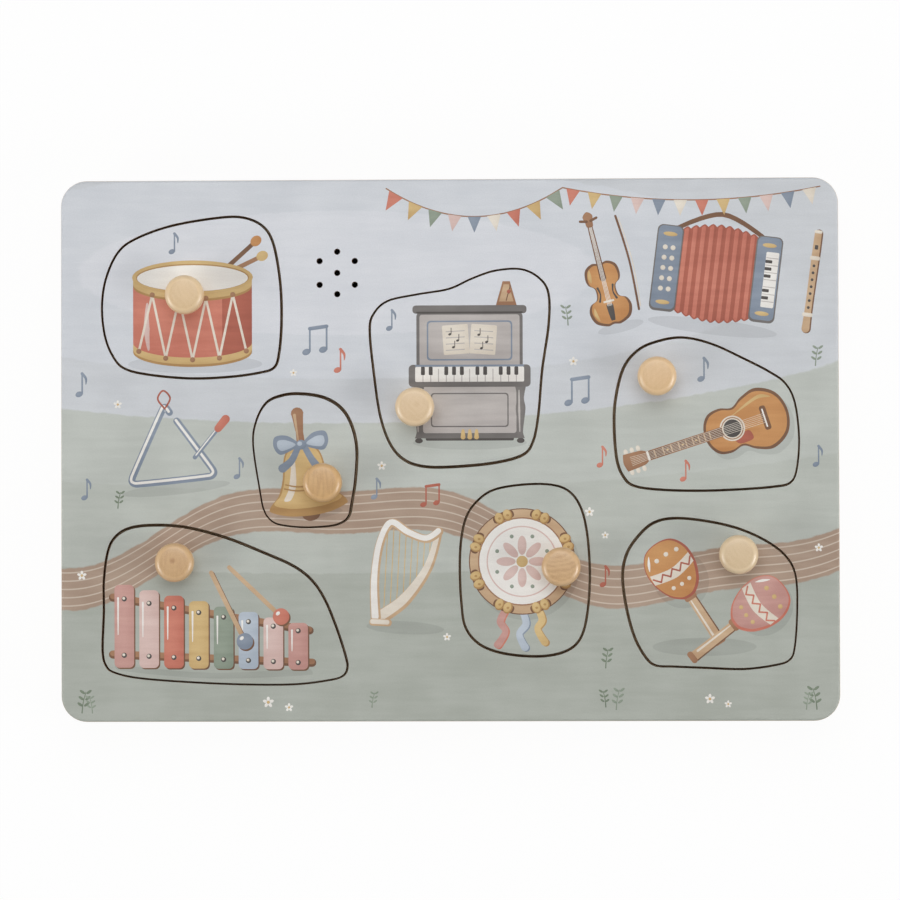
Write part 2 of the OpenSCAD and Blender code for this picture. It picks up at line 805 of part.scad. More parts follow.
// Caps glued under the floor, each with an outlet towards its solder pad
module sensor_holders() {
    color("black")
        for (picture = pictures)
            at(sensor_at(picture), floor_z - holder_h)
                rotate([0, 0, heading(sensor_at(picture), lead_pad(picture))]) {
                    cylinder(h = holder_h, d = holder_d);
                    translate([0, -outlet_w / 2, 0])
                        cube([outlet_l, outlet_w, holder_h]);
                }
}

// Leads from the caps, along the underside of the floor and down to the circuit board
module sensor_leads() {
    color("firebrick")
        for (picture = pictures)
            lead(towards(sensor_at(picture), lead_pad(picture), outlet_l), lead_pad(picture),
                 lead_z, circuit_top);
}

module speaker_lead() {
    reach = speaker_d / 2 + tag_gap + tag_strip.x;
    color("firebrick")
        lead(towards(speaker_at, speaker_pad, reach), speaker_pad, lead_z, circuit_top);
}

module battery_lead() {
    color("firebrick")
        lead([battery_pad.x, tray_at.y + tray_out_w / 2], battery_pad, low_lead_z, circuit_z);
}

module switch_lead() {
    color("firebrick")
        lead([switch_pad.x, switch_at.y + switch_w / 2], switch_pad, low_lead_z, circuit_z);
}

// Battery tray through the back cover: a box open to the back, with a rim and a screw block at each end
module battery_tray() {
    color([0.16, 0.16, 0.17])
        at(tray_at) {
            difference() {
                union() {
                    block(tray_out_l, tray_out_w, tray_foot_z, tray_top);
                    block(tray_out_l + 2 * tray_rim_w, tray_out_w + 2 * tray_rim_w,
                          back_t, back_t + tray_rim_t);
                }
                block(bay_l, tray_in_w, -past, roof_z);
                block(tray_in_l, tray_in_w, -past, lid_top);
                for (side = [-1, 1])
                    translate([side * lid_screw_x, 0, lid_top - past])
                        cylinder(h = past + lid_screw_l, d = lid_screw_d + 2 * run_gap);
            }
            block(cell_l, rib_t, roof_z - rib_h, tray_top);
        }
}

// Battery lid with grip grooves and two countersunk screw holes
module battery_lid() {
    color([0.16, 0.16, 0.17])
        at(tray_at)
            difference() {
                block(tray_in_l - 2 * run_gap, tray_in_w - 2 * run_gap, lid_recess, lid_top);
                for (side = [-1, 1])
                    translate([side * lid_screw_x, 0, lid_recess + head_sink])
                        countersunk_hole(lid_head_d, lid_screw_d, lid_t + past, glue_gap);
                for (i = [0 : grooves - 1])
                    translate([(i - (grooves - 1) / 2) * groove_pitch, 0, 0])
                        block(groove_w, tray_in_w / 2, 0, lid_recess + groove_depth);
            }
}

module lid_screws() {
    color("silver")
        for (side = [-1, 1])
            at(tray_at + [side * lid_screw_x, 0], lid_recess + head_sink)
                countersunk_screw(lid_head_d, lid_screw_d, lid_screw_l);
}

// Two cells side by side, one turned round
module battery_cells() {
    chamfer = 0.4;
    color("slategray")
        for (side = [-1, 1])
            at(tray_at + [0, side * cell_pitch / 2], cell_z)
                rotate([0, -90 * side, 0])
                    translate([0, 0, bay_l / 2 - plate_t - cell_l])
                        rotate_extrude()
                            polygon([[0, 0], [cell_d / 2 - chamfer, 0], [cell_d / 2, chamfer],
                                     [cell_d / 2, cell_l - pole_h - chamfer],
                                     [cell_d / 2 - chamfer, cell_l - pole_h], [pole_d / 2, cell_l - pole_h],
                                     [pole_d / 2, cell_l], [0, cell_l]]);
}

// Contact plates on the screw blocks: two at the left end and one across both cells at the right end
module contact_plates() {
    color("gainsboro")
        at(tray_at, cell_z - plate_w / 2) {
            for (side = [-1, 1])
                translate([-bay_l / 2, side * cell_pitch / 2 - plate_w / 2, 0])
                    cube([plate_t, plate_w, plate_w]);
            translate([bay_l / 2 - plate_t, -(cell_pitch + plate_w) / 2, 0])
                cube([plate_t, cell_pitch + plate_w, plate_w]);
        }
}

// Contact springs between the plates and the flat ends of the cells
spring_turns = 3;
spring_rings = 8;
spring_sides = 6;
spring_end = spring_wire_d;
spring_last = spring_turns * spring_rings;
spring_coil = [
    for (i = [0 : spring_last])
        let (a = 360 * i / spring_rings)
            [spring_d / 2 * cos(a), spring_d / 2 * sin(a),
             spring_end + (spring_l - 2 * spring_end) * i / spring_last]];
spring_path = concat([[spring_d / 2, 0, 0]], spring_coil, [[spring_d / 2, 0, spring_l]]);
spring_out = concat(
    [[1, 0, 0]],
    [for (i = [0 : spring_last]) [cos(360 * i / spring_rings), sin(360 * i / spring_rings), 0]],
    [[1, 0, 0]]);
spring_least_gap = min([
    for (i = [0 : spring_last], j = [0 : spring_last])
        if (j - i > spring_rings / 2) norm(spring_coil[j] - spring_coil[i])]) - spring_wire_d;
echo(spring_least_gap = spring_least_gap);
module contact_springs() {
    color("silver")
        for (side = [-1, 1])
            at(tray_at + [side * (bay_l / 2 - plate_t), side * cell_pitch / 2], cell_z)
                rotate([0, -90 * side, 0])
                    swept_tube(spring_path, spring_out, spring_wire_d, spring_sides);
}

// Switch body on the back cover, with ears, a slot for the button and a channel for the carriage
module switch_body() {
    color("dimgray")
        at(switch_at, back_t)
            difference() {
                union() {
                    block(ear_span, switch_w, 0, ear_t);
                    block(switch_l, switch_w, 0, switch_h);
                }
                block(button_l + travel + 2 * run_gap, button_w + 2 * run_gap, -past, ear_t + run_gap);
                block(carriage_l + travel + 2 * run_gap, carriage_w + 2 * run_gap, ear_t,
                      ear_t + carriage_t + 2 * run_gap);
                for (side = [-1, 1])
                    translate([side * (switch_l + ear_span) / 4, 0, -past])
                        cylinder(h = ear_t + 2 * past, d = small_screw_d + 2 * glue_gap);
            }
}

// Slider of the switch, drawn in its off position
module switch_slider() {
    carriage_z = back_t + ear_t + run_gap;
    color("white")
        at(switch_at - [travel / 2, 0]) {
            block(button_l, button_w, button_recess, carriage_z + carriage_t);
            block(carriage_l, carriage_w, carriage_z, carriage_z + carriage_t);
        }
}

module switch_screws() {
    color("silver")
        for (side = [-1, 1])
            at(switch_at + [side * (switch_l + ear_span) / 4, 0], back_t + ear_t)
                mirror([0, 0, 1])
                    small_screw(ear_t + small_screw_bite);
}

top_board();
recess_floor();
rail_front();
rail_back();
rail_left();
rail_right();
back_cover();
cover_screws();
drum_piece();
piano_piece();
guitar_piece();
bell_piece();
xylophone_piece();
tambourine_piece();
maracas_piece();
drum_knob();
piano_knob();
guitar_knob();
bell_knob();
xylophone_knob();
tambourine_knob();
maracas_knob();
speaker_gasket();
speaker_frame();
speaker_cone();
speaker_magnet();
speaker_terminals();
circuit_board();
sound_chip();
board_parts();
board_spacers();
board_screws();
light_sensors();
sensor_holders();
sensor_leads();
speaker_lead();
battery_lead();
switch_lead();
battery_tray();
battery_lid();
lid_screws();
battery_cells();
contact_plates();
contact_springs();
switch_body();
switch_slider();
switch_screws();
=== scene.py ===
import math

import bpy
from mathutils import Matrix, Vector
from mathutils.geometry import delaunay_2d_cdt


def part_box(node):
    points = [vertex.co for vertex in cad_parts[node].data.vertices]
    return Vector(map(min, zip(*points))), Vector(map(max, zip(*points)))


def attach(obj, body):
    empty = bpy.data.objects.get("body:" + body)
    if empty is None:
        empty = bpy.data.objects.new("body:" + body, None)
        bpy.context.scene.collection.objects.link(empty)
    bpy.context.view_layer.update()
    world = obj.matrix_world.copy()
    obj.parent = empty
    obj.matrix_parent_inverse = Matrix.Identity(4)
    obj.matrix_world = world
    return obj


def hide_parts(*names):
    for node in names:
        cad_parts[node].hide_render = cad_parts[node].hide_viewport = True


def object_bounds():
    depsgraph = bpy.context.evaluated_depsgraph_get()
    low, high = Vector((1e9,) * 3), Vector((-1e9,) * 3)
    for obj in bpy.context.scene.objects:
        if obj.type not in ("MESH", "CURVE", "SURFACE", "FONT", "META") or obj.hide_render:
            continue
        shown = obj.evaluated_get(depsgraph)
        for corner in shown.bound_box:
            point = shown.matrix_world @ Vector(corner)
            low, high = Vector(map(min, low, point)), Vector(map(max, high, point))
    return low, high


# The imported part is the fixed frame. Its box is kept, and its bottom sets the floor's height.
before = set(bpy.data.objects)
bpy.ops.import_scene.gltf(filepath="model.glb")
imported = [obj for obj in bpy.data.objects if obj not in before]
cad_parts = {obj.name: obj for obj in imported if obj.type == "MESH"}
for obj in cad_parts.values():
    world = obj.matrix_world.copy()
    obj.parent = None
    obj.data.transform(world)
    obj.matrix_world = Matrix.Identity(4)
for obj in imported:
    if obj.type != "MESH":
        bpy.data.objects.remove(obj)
cad_low, cad_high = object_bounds()
bpy.context.scene.view_settings.view_transform = "Standard"
MM = 0.001

# Back cover: one sheet of birch plywood with a window for the battery lid and a thumb recess for the switch.
# It is bare and sanded, its edges are eased, and it is held to the rails by countersunk screws.

SAME_POINT = 0.001 * MM
SAME_PLANE = math.radians(0.5)
SOFT_BEND = math.radians(35)
SHARP_BEND = math.radians(40)


def tone(red, green, blue):
    """A colour in screen values from 0 to 255, as the shaders take it."""
    shares = [c / 255 for c in (red, green, blue)]
    return (*(s / 12.92 if s <= 0.04045 else ((s + 0.055) / 1.055) ** 2.4 for s in shares), 1.0)


def tones(light, dark):
    """The two colours between which an effect varies."""
    return {"Light": tone(*light), "Dark": tone(*dark)}


def put(tree, kind, inputs=None, **settings):
    """Adds a shader node. Each input takes a value, or the socket that feeds it."""
    made = tree.nodes.new("ShaderNode" + kind)
    for key, value in settings.items():
        setattr(made, key, value)
    for key, value in (inputs or {}).items():
        if isinstance(value, bpy.types.NodeSocket):
            tree.links.new(value, made.inputs[key])
        else:
            made.inputs[key].default_value = value
    return made


def calc(tree, operation, *values):
    """A math node on up to three numbers or sockets."""
    return put(tree, "Math", dict(enumerate(values)), operation=operation).outputs[0]


def weighed(tree, *parts):
    """The sum of sockets, each times its own weight."""
    total = calc(tree, "MULTIPLY", *parts[0])
    for socket, weight in parts[1:]:
        total = calc(tree, "MULTIPLY_ADD", socket, weight, total)
    return total


def mixed(tree, share, first, second):
    """A colour that goes from the first to the second as the share goes from 0 to 1."""
    return put(tree, "Mix", {0: share, 6: first, 7: second}, data_type="RGBA").outputs[2]


def spread(tree, value, low, high, to_low=0.0, to_high=1.0):
    """The value, eased from one range to another."""
    ends = {0: value, 1: low, 2: high, 3: to_low, 4: to_high}
    return put(tree, "MapRange", ends, interpolation_type="SMOOTHSTEP").outputs[0]


def cloudy(tree, place, scale, detail=3.0, stretch=(1, 1, 1)):
    """Soft noise from 0 to 1 over a place in mm, stretched along the small axes of stretch."""
    if stretch != (1, 1, 1):
        place = put(tree, "Mapping", {"Vector": place, "Scale": stretch}).outputs[0]
    return put(tree, "TexNoise", {"Vector": place, "Scale": scale, "Detail": detail}).outputs[0]


def apart(tree, place):
    """The X, Y and Z of a place."""
    return put(tree, "SeparateXYZ", {0: place}).outputs


def facing_up(tree):
    """How far the surface faces up, from -1 to 1."""
    return apart(tree, put(tree, "TexCoord").outputs["Normal"])[2]


def new_effect(name, **inputs):
    """A shader node group that turns a place in mm, and its own inputs, into colour, roughness and height.
    Gives its tree, its inputs, and a function that links its results."""
    tree = bpy.data.node_groups.new(name, "ShaderNodeTree")
    tree.interface.new_socket("Place", in_out="INPUT", socket_type="NodeSocketVector")
    for socket, value in inputs.items():
        kind = "NodeSocketFloat" if isinstance(value, float) else "NodeSocketColor"
        tree.interface.new_socket(socket, in_out="INPUT", socket_type=kind).default_value = value
    tree.interface.new_socket("Colour", in_out="OUTPUT", socket_type="NodeSocketColor")
    for socket in ("Roughness", "Height"):
        tree.interface.new_socket(socket, in_out="OUTPUT", socket_type="NodeSocketFloat")
    start = tree.nodes.new("NodeGroupInput").outputs
    ends = tree.nodes.new("NodeGroupOutput").inputs

    def close(**results):
        for socket, source in results.items():
            tree.links.new(source, ends[socket])
        return tree

    return tree, start, close


def use_effect(tree, effect, place, **inputs):
    """Places an effect in a material and gives its outputs."""
    return put(tree, "Group", {"Place": place, **inputs}, node_tree=effect).outputs


def place_in_mm(tree, centre=(0, 0, 0), turn=(0, 0, 0)):
    """The surface's own place in mm, from a centre in mm and turned by degrees."""
    settings = {
        "Vector": put(tree, "TexCoord").outputs["Object"],
        "Location": [c * MM for c in centre],
        "Rotation": [math.radians(a) for a in turn],
        "Scale": (MM, MM, MM),
    }
    return put(tree, "Mapping", settings, vector_type="TEXTURE").outputs[0]


def new_finish(name):
    """An empty material and its node tree."""
    made = bpy.data.materials.new(name)
    made.use_nodes = True
    return made, made.node_tree


def finish_with(tree, outputs, relief, sockets):
    """Feeds an effect to the material's shader, with relief in mm, and sets its plain sockets."""
    shader = tree.nodes["Principled BSDF"]
    tree.links.new(outputs["Colour"], shader.inputs["Base Color"])
    tree.links.new(outputs["Roughness"], shader.inputs["Roughness"])
    bump = put(tree, "Bump", {"Distance": relief * MM, "Height": outputs["Height"]})
    tree.links.new(bump.outputs[0], shader.inputs["Normal"])
    for socket, value in sockets.items():
        shader.inputs[socket].default_value = value


def finish(name, effect, relief, centre=(0, 0, 0), turn=(0, 0, 0), sockets=None, **inputs):
    """A material made of one effect."""
    made, tree = new_finish(name)
    place = place_in_mm(tree, centre, turn)
    finish_with(tree, use_effect(tree, effect, place, **inputs), relief, sockets or {})
    return made


def ply_layers(tree, start):
    """How many layers up a place lies in its sheet, and 1 in the layers that run across."""
    height = calc(tree, "SUBTRACT", apart(tree, start["Place"])[2], start["Bottom"])
    layers = calc(tree, "DIVIDE", height, start["Ply"])
    return layers, calc(tree, "GREATER_THAN", calc(tree, "FRACT", calc(tree, "MULTIPLY", layers, 0.5)), 0.5)


def plywood_effect():
    """Rotary-cut birch on the flats, and crossed layers with dark glue lines on the edges."""
    woods = tones((226, 201, 164), (201, 168, 126))
    tree, start, close = new_effect("plywood", **woods, Bottom=0.0, Ply=1.0)
    place = start["Place"]
    swell = cloudy(tree, place, 1.0, 2.0, (0.005, 0.022, 0.022))
    arches = calc(tree, "SINE", calc(tree, "MULTIPLY", swell, 90.0))
    lines = cloudy(tree, place, 1.0, 3.0, (0.02, 0.75, 0.75))
    pores = cloudy(tree, place, 1.0, 2.0, (0.09, 2.4, 2.4))
    grain = weighed(tree, (swell, 0.3), (arches, 0.05), (lines, 0.34), (pores, 0.36))
    flat = mixed(tree, spread(tree, grain, 0.34, 0.68), start["Light"], start["Dark"])

    layers, cross = ply_layers(tree, start)
    from_middle = calc(tree, "ABSOLUTE", calc(tree, "SUBTRACT", calc(tree, "FRACT", layers), 0.5))
    glue = spread(tree, from_middle, 0.42, 0.5, 0.0, 0.6)
    fibres = cloudy(tree, place, 1.7, 4.0)
    long_layer = mixed(tree, fibres, start["Light"], start["Dark"])
    end_layer = mixed(tree, spread(tree, fibres, 0.3, 0.7), start["Dark"], tone(158, 119, 80))
    edge = mixed(tree, glue, mixed(tree, cross, long_layer, end_layer), tone(112, 80, 54))

    on_flat = spread(tree, calc(tree, "ABSOLUTE", facing_up(tree)), 0.45, 0.6)
    return close(
        Colour=mixed(tree, on_flat, edge, flat),
        Roughness=spread(tree, grain, 0.2, 0.8, 0.5, 0.68),
        Height=calc(tree, "SUBTRACT", grain, calc(tree, "MULTIPLY", glue, 0.5)),
    )


def layers_of(node, count):
    """Where a sheet's layers lie, for the plywood effects: its bottom and one layer's thickness in mm."""
    low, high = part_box(node)
    return {"Bottom": low.z / MM, "Ply": (high.z - low.z) / MM / count}


def new_piece(name, mesh):
    """A new object with a mesh of its own."""
    piece = bpy.data.objects.new(name, mesh)
    bpy.context.scene.collection.objects.link(piece)
    return piece


def edit_all():
    """Opens the active piece for editing, with all of it selected."""
    bpy.ops.object.mode_set(mode="EDIT")
    bpy.ops.mesh.select_all(action="SELECT")


def copy_of(node, name):
    """A copy of a solid as a new piece, with its loose triangles merged into clean faces."""
    bpy.ops.object.select_all(action="DESELECT")
    piece = new_piece(name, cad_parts[node].data.copy())
    piece.select_set(True)
    bpy.context.view_layer.objects.active = piece
    edit_all()
    bpy.ops.mesh.customdata_custom_splitnormals_clear()
    bpy.ops.mesh.remove_doubles(threshold=SAME_POINT)
    bpy.ops.mesh.dissolve_limited(angle_limit=SAME_PLANE)
    bpy.ops.object.mode_set(mode="OBJECT")
    piece.data.materials.clear()
    return piece


def seat(piece, body, node):
    """Sets a piece on its body in place of a solid, which it hides."""
    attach(piece, body)
    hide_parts(node)


def eased(node, name, rim, body, made):
    """A piece that stands for a solid of the same shape, with its sharp edges rounded by rim."""
    piece = copy_of(node, name)
    rounding = piece.modifiers.new("rim", "BEVEL")
    rounding.width = rim
    rounding.segments = 2
    rounding.limit_method = "ANGLE"
    rounding.angle_limit = SHARP_BEND
    bpy.ops.object.modifier_apply(modifier=rounding.name)
    edit_all()
    bpy.ops.mesh.dissolve_degenerate(threshold=SAME_POINT)
    bpy.ops.object.mode_set(mode="OBJECT")
    bpy.ops.object.shade_smooth_by_angle(angle=SOFT_BEND)
    even = piece.modifiers.new("even", "WEIGHTED_NORMAL")
    even.keep_sharp = True
    even.weight = 100
    bpy.ops.object.modifier_apply(modifier=even.name)
    piece.data.materials.append(made)
    seat(piece, body, node)


plywood = plywood_effect()
cover_ply = finish("cover_ply", plywood, 0.06, **layers_of("back_cover", 3))
eased("back_cover", "back_cover_sheet", 0.35 * MM, "root", cover_ply)


# Rails: four planed battens glued between the sheets, which make the hollow and carry the screws.
# They are plain pale softwood, with the grain along each batten.


def batten_effect():
    """Straight softwood grain along X: early and late wood in lines, with fine pores."""
    tree, start, close = new_effect("batten", **tones((229, 204, 166), (198, 158, 112)))
    place = start["Place"]
    drift = cloudy(tree, place, 1.0, 3.0, (0.012, 0.1, 0.1))
    across = apart(tree, place)
    depth = calc(tree, "MULTIPLY_ADD", across[2], 0.35, across[1])
    rings = calc(tree, "SINE", weighed(tree, (depth, 1.9), (drift, 26.0)))
    pores = cloudy(tree, place, 1.0, 3.0, (0.08, 2.6, 2.6))
    late = weighed(tree, (pores, 0.9), (rings, 0.22))
    return close(
        Colour=mixed(tree, spread(tree, late, 0.2, 0.85), start["Light"], start["Dark"]),
        Roughness=spread(tree, pores, 0.2, 0.8, 0.52, 0.66),
        Height=late,
    )


batten = batten_effect()
for sides, wood in (
    (("front", "back"), finish("batten_along", batten, 0.05)),
    (("left", "right"), finish("batten_across", batten, 0.05, turn=(0, 0, 90))),
):
    for side in sides:
        eased("rail_" + side, "batten_" + side, 0.25 * MM, "root", wood)


# Screws: eight countersunk wood screws in the back, two in the battery lid and small pan heads inside.
# They are zinc-plated steel with a cross recess, driven just below the face.

METAL = {"Metallic": 1.0}


def plated_effect():
    """Plated metal: fine scratches along X and small dull spots."""
    tree, start, close = new_effect("plated", **tones((212, 213, 216), (160, 161, 164)))
    place = start["Place"]
    scratch = cloudy(tree, place, 1.0, 4.0, (0.8, 9.0, 9.0))
    spots = cloudy(tree, place, 0.9, 4.0)
    worn = weighed(tree, (spots, 0.6), (scratch, 0.4))
    return close(
        Colour=mixed(tree, spread(tree, worn, 0.3, 0.7), start["Light"], start["Dark"]),
        Roughness=spread(tree, worn, 0.25, 0.75, 0.24, 0.42),
        Height=scratch,
    )


def dress(node, made):
    """Gives a solid that is shown as it is its finish."""
    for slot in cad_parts[node].material_slots:
        slot.material = made


plated = plated_effect()
screw_zinc = finish("screw_zinc", plated, 0.01, sockets=METAL)
eased("cover_screws", "cover_screw_set", 0.1 * MM, "root", screw_zinc)
eased("lid_screws", "lid_screw_pair", 0.08 * MM, "battery_lid", screw_zinc)
for node in ("board_screws", "switch_screws"):
    dress(node, screw_zinc)


# Battery tray: a black moulded tray through the back for two small cells, with a lid held by two screws.
# Plated contacts stand at its ends, and the lid has grip grooves and lies just below the back.

# Along a cell in mm, from the middle of the tray towards the cell's pole.
SLEEVE_FOOT = -19.2
SLEEVE_LINE = 10.6
SLEEVE_BAND = 12.0
SLEEVE_TOP = 23.3


def moulded_effect():
    """Moulded plastic: an even eroded grain, a faint flow of tone and soft handling marks."""
    tree, start, close = new_effect("moulded", **tones((66, 66, 68), (48, 48, 50)))
    place = start["Place"]
    grain = cloudy(tree, place, 5.0, 2.0)
    flow = cloudy(tree, place, 0.12, 4.0)
    marks = cloudy(tree, place, 0.5, 5.0)
    share = weighed(tree, (flow, 0.6), (grain, 0.4))
    return close(
        Colour=mixed(tree, spread(tree, share, 0.35, 0.65), start["Light"], start["Dark"]),
        Roughness=spread(tree, marks, 0.3, 0.7, 0.4, 0.58),
        Height=grain,
    )


def middle_of(node):
    """The middle of a solid's box."""
    low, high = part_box(node)
    return (low + high) / 2


def jacket_finish():
    """A cell's printed sleeve: a pale grey body, a teal band by the pole, and bare plated ends."""
    made, tree = new_finish("cell_sleeve")
    middle = middle_of("battery_tray") / MM
    place = place_in_mm(tree, (middle.x, middle.y, 0))
    split = apart(tree, place)
    to_pole = calc(tree, "MULTIPLY", split[0], calc(tree, "MULTIPLY", calc(tree, "SIGN", split[1]), -1.0))
    sleeve = use_effect(tree, moulded, place, **tones((203, 205, 206), (181, 184, 186)))
    teal = use_effect(tree, moulded, place, **tones((104, 142, 146), (84, 121, 126)))
    steel = use_effect(tree, plated, place)
    band = spread(tree, to_pole, SLEEVE_BAND, SLEEVE_BAND + 0.15)
    line = spread(tree, calc(tree, "ABSOLUTE", calc(tree, "SUBTRACT", to_pole, SLEEVE_LINE)), 0.5, 0.4)
    bare_top = spread(tree, to_pole, SLEEVE_TOP, SLEEVE_TOP + 0.1)
    bare = calc(tree, "MAXIMUM", bare_top, spread(tree, to_pole, SLEEVE_FOOT, SLEEVE_FOOT - 0.1))
    colour = mixed(tree, calc(tree, "MAXIMUM", band, line), sleeve["Colour"], teal["Colour"])
    colour = mixed(tree, bare, colour, steel["Colour"])
    rough = put(tree, "Mix", {0: bare, 2: sleeve["Roughness"], 3: steel["Roughness"]}).outputs[0]
    finish_with(tree, {"Colour": colour, "Roughness": rough, "Height": sleeve["Height"]}, 0.01, {})
    tree.links.new(bare, tree.nodes["Principled BSDF"].inputs["Metallic"])
    return made


moulded = moulded_effect()
black_plastic = finish("black_plastic", moulded, 0.03)
eased("battery_tray", "cell_tray", 0.2 * MM, "root", black_plastic)
eased("battery_lid", "tray_lid", 0.22 * MM, "battery_lid", black_plastic)
eased("battery_cells", "cell_pair", 0.15 * MM, "root", jacket_finish())
nickel = tones((222, 217, 206), (184, 178, 166))
contact_nickel = finish("contact_nickel", plated, 0.01, sockets=METAL, **nickel)
for node in ("contact_plates", "contact_springs"):
    dress(node, contact_nickel)


# Switch: a small slide switch screwed inside the back, whose pale button stands in the thumb recess.
# Its case is dark plastic, and the button is shiny where thumbs rub it.


def plastic(name, relief, light, dark, coat=0.0):
    """Moulded plastic in its own colours, with a clear coat where it shines."""
    return finish(name, moulded, relief, sockets={"Coat Weight": coat}, **tones(light, dark))


switch_plastic = plastic("switch_plastic", 0.02, (92, 93, 96), (72, 73, 76))
button_plastic = plastic("button_plastic", 0.015, (232, 229, 222), (212, 208, 200), 0.3)
button_plastic.node_tree.nodes["Principled BSDF"].inputs["Coat Roughness"].default_value = 0.25
eased("switch_body", "switch_case", 0.15 * MM, "root", switch_plastic)
eased("switch_slider", "switch_thumb", 0.3 * MM, "power_switch", button_plastic)


# Circuit board: a small green laminate on four nylon spacers under the floor, with the sound chip under a
# black drop. A capacitor, a transistor and three resistors stand beside it, and leads are soldered to pads
# along its edges.

PAD_ROWS = 4.5


def laminate_finish():
    """Green resist over copper tracks, with rows of tinned pads along the edges."""
    made, tree = new_finish("circuit_resist")
    low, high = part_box("circuit_board")
    half = (high - low) / 2 / MM
    place = place_in_mm(tree, (low + high) / 2 / MM)
    resist = use_effect(tree, moulded, place, **tones((62, 122, 84), (46, 98, 66)))
    shift = put(tree, "VectorMath", {0: place, 1: (0.37, 0.61, 0)}).outputs[0]
    rows = {"Scale": 1.0, "Mortar Size": 0.16, "Mortar Smooth": 0.3, "Brick Width": 6.3, "Row Height": 1.7}
    tracks = put(tree, "TexBrick", {"Vector": shift, **rows}).outputs["Fac"]
    grid = put(tree, "TexVoronoi", {"Vector": place, "Scale": 0.4, "Randomness": 0.0}).outputs["Distance"]
    split = apart(tree, place)
    to_side = calc(tree, "SUBTRACT", half.x, calc(tree, "ABSOLUTE", split[0]))
    to_end = calc(tree, "SUBTRACT", half.y, calc(tree, "ABSOLUTE", split[1]))
    by_edge = calc(tree, "LESS_THAN", calc(tree, "MINIMUM", to_side, to_end), PAD_ROWS)
    pad = calc(tree, "MULTIPLY", spread(tree, grid, 0.34, 0.3), by_edge)
    colour = mixed(tree, calc(tree, "MULTIPLY", tracks, 0.5), resist["Colour"], tone(116, 168, 112))
    colour = mixed(tree, pad, colour, tone(206, 204, 194))
    height = calc(tree, "MAXIMUM", tracks, pad)
    rough = spread(tree, pad, 0.0, 1.0, 0.36, 0.3)
    finish_with(tree, {"Colour": colour, "Roughness": rough, "Height": height}, 0.04, {"Coat Weight": 0.3})
    return made


dress("circuit_board", laminate_finish())
dress("sound_chip", plastic("chip_drop", 0.02, (44, 44, 46), (32, 32, 34), 0.5))
dress("board_parts", plastic("part_sleeves", 0.02, (64, 72, 98), (46, 52, 74)))
dress("board_spacers", plastic("spacer_nylon", 0.02, (236, 231, 218), (219, 212, 196)))


# Loudspeaker: a small pressed-steel basket glued under the floor through a foam ring, with its magnet below.
# Its dark film cone faces the sound holes, and its lead is soldered to a brown tag strip.

SPEAKER_AXIS = middle_of("speaker_gasket")


def foam_effect():
    """Open foam: round cells, with painted shade darkening their hollows."""
    tree, start, close = new_effect("foam", **tones((86, 85, 84), (48, 47, 46)))
    cells = put(tree, "TexVoronoi", {"Vector": start["Place"], "Scale": 2.6}).outputs["Distance"]
    return close(
        Colour=mixed(tree, spread(tree, cells, 0.15, 0.6), start["Dark"], start["Light"]),
        Roughness=spread(tree, cells, 0.0, 0.7, 0.8, 0.95),
        Height=cells,
    )


def from_axis(tree, place, stretch=(1, 1, 0)):
    """How far a place lies from the upright axis, with X and Y each times its own share."""
    flat = put(tree, "VectorMath", {0: place, 1: stretch}, operation="MULTIPLY").outputs[0]
    return put(tree, "VectorMath", {0: flat}, operation="LENGTH").outputs["Value"]


def cone_effect():
    """Pressed film with fine rings round the axis."""
    tree, start, close = new_effect("cone", **tones((84, 82, 80), (58, 57, 56)))
    rings = calc(tree, "SINE", calc(tree, "MULTIPLY", from_axis(tree, start["Place"]), 7.0))
    fibres = cloudy(tree, start["Place"], 1.6, 4.0)
    share = calc(tree, "MULTIPLY_ADD", rings, 0.2, fibres)
    return close(
        Colour=mixed(tree, spread(tree, share, 0.2, 0.8), start["Dark"], start["Light"]),
        Roughness=spread(tree, fibres, 0.2, 0.8, 0.4, 0.6),
        Height=share,
    )


magnet_plate = tones((190, 190, 188), (146, 146, 146))
dress("speaker_gasket", finish("gasket_foam", foam_effect(), 0.15))
dress("speaker_cone", finish("cone_film", cone_effect(), 0.06, SPEAKER_AXIS / MM))
dress("speaker_frame", finish("basket_steel", plated, 0.01, sockets=METAL))
dress("speaker_magnet", finish("magnet_zinc", plated, 0.015, sockets=METAL, **magnet_plate))
dress("speaker_terminals", plastic("tag_board", 0.03, (150, 98, 62), (120, 76, 48)))


# Light sensors: seven round cells that look up through the floor, one under each piece, in black caps.
# Each shows a folded dark track on a pale disc, and its lead runs under the floor to the circuit board.


def sensor_effect():
    """A pale ceramic disc with a narrow brown track in close rows."""
    tree, start, close = new_effect("sensor", **tones((214, 178, 130), (126, 62, 36)))
    rows = calc(tree, "PINGPONG", apart(tree, start["Place"])[1], 0.4)
    track = spread(tree, rows, 0.14, 0.2)
    speck = cloudy(tree, start["Place"], 3.0, 3.0)
    return close(
        Colour=mixed(tree, track, start["Dark"], start["Light"]),
        Roughness=spread(tree, speck, 0.2, 0.8, 0.22, 0.36),
        Height=speck,
    )


dress("light_sensors", finish("sensor_resin", sensor_effect(), 0.02, sockets={"Coat Weight": 0.6}))
dress("sensor_holders", black_plastic)
for node, light, dark in (
    ("sensor_leads", (190, 78, 66), (160, 56, 48)),
    ("speaker_lead", (206, 176, 92), (178, 146, 66)),
    ("battery_lead", (186, 62, 54), (152, 44, 40)),
    ("switch_lead", (88, 106, 142), (66, 82, 114)),
):
    dress(node, plastic(node + "_sleeve", 0.01, light, dark, 0.2))


# Recess floor: a thin plywood sheet under the printed board, seen at the bottom of each opening once its
# piece is lifted. It has a window for each light sensor and one for the loudspeaker.

floor_ply = finish("floor_ply", plywood, 0.06, **layers_of("recess_floor", 3))
eased("recess_floor", "recess_sheet", 0.2 * MM, "root", floor_ply)


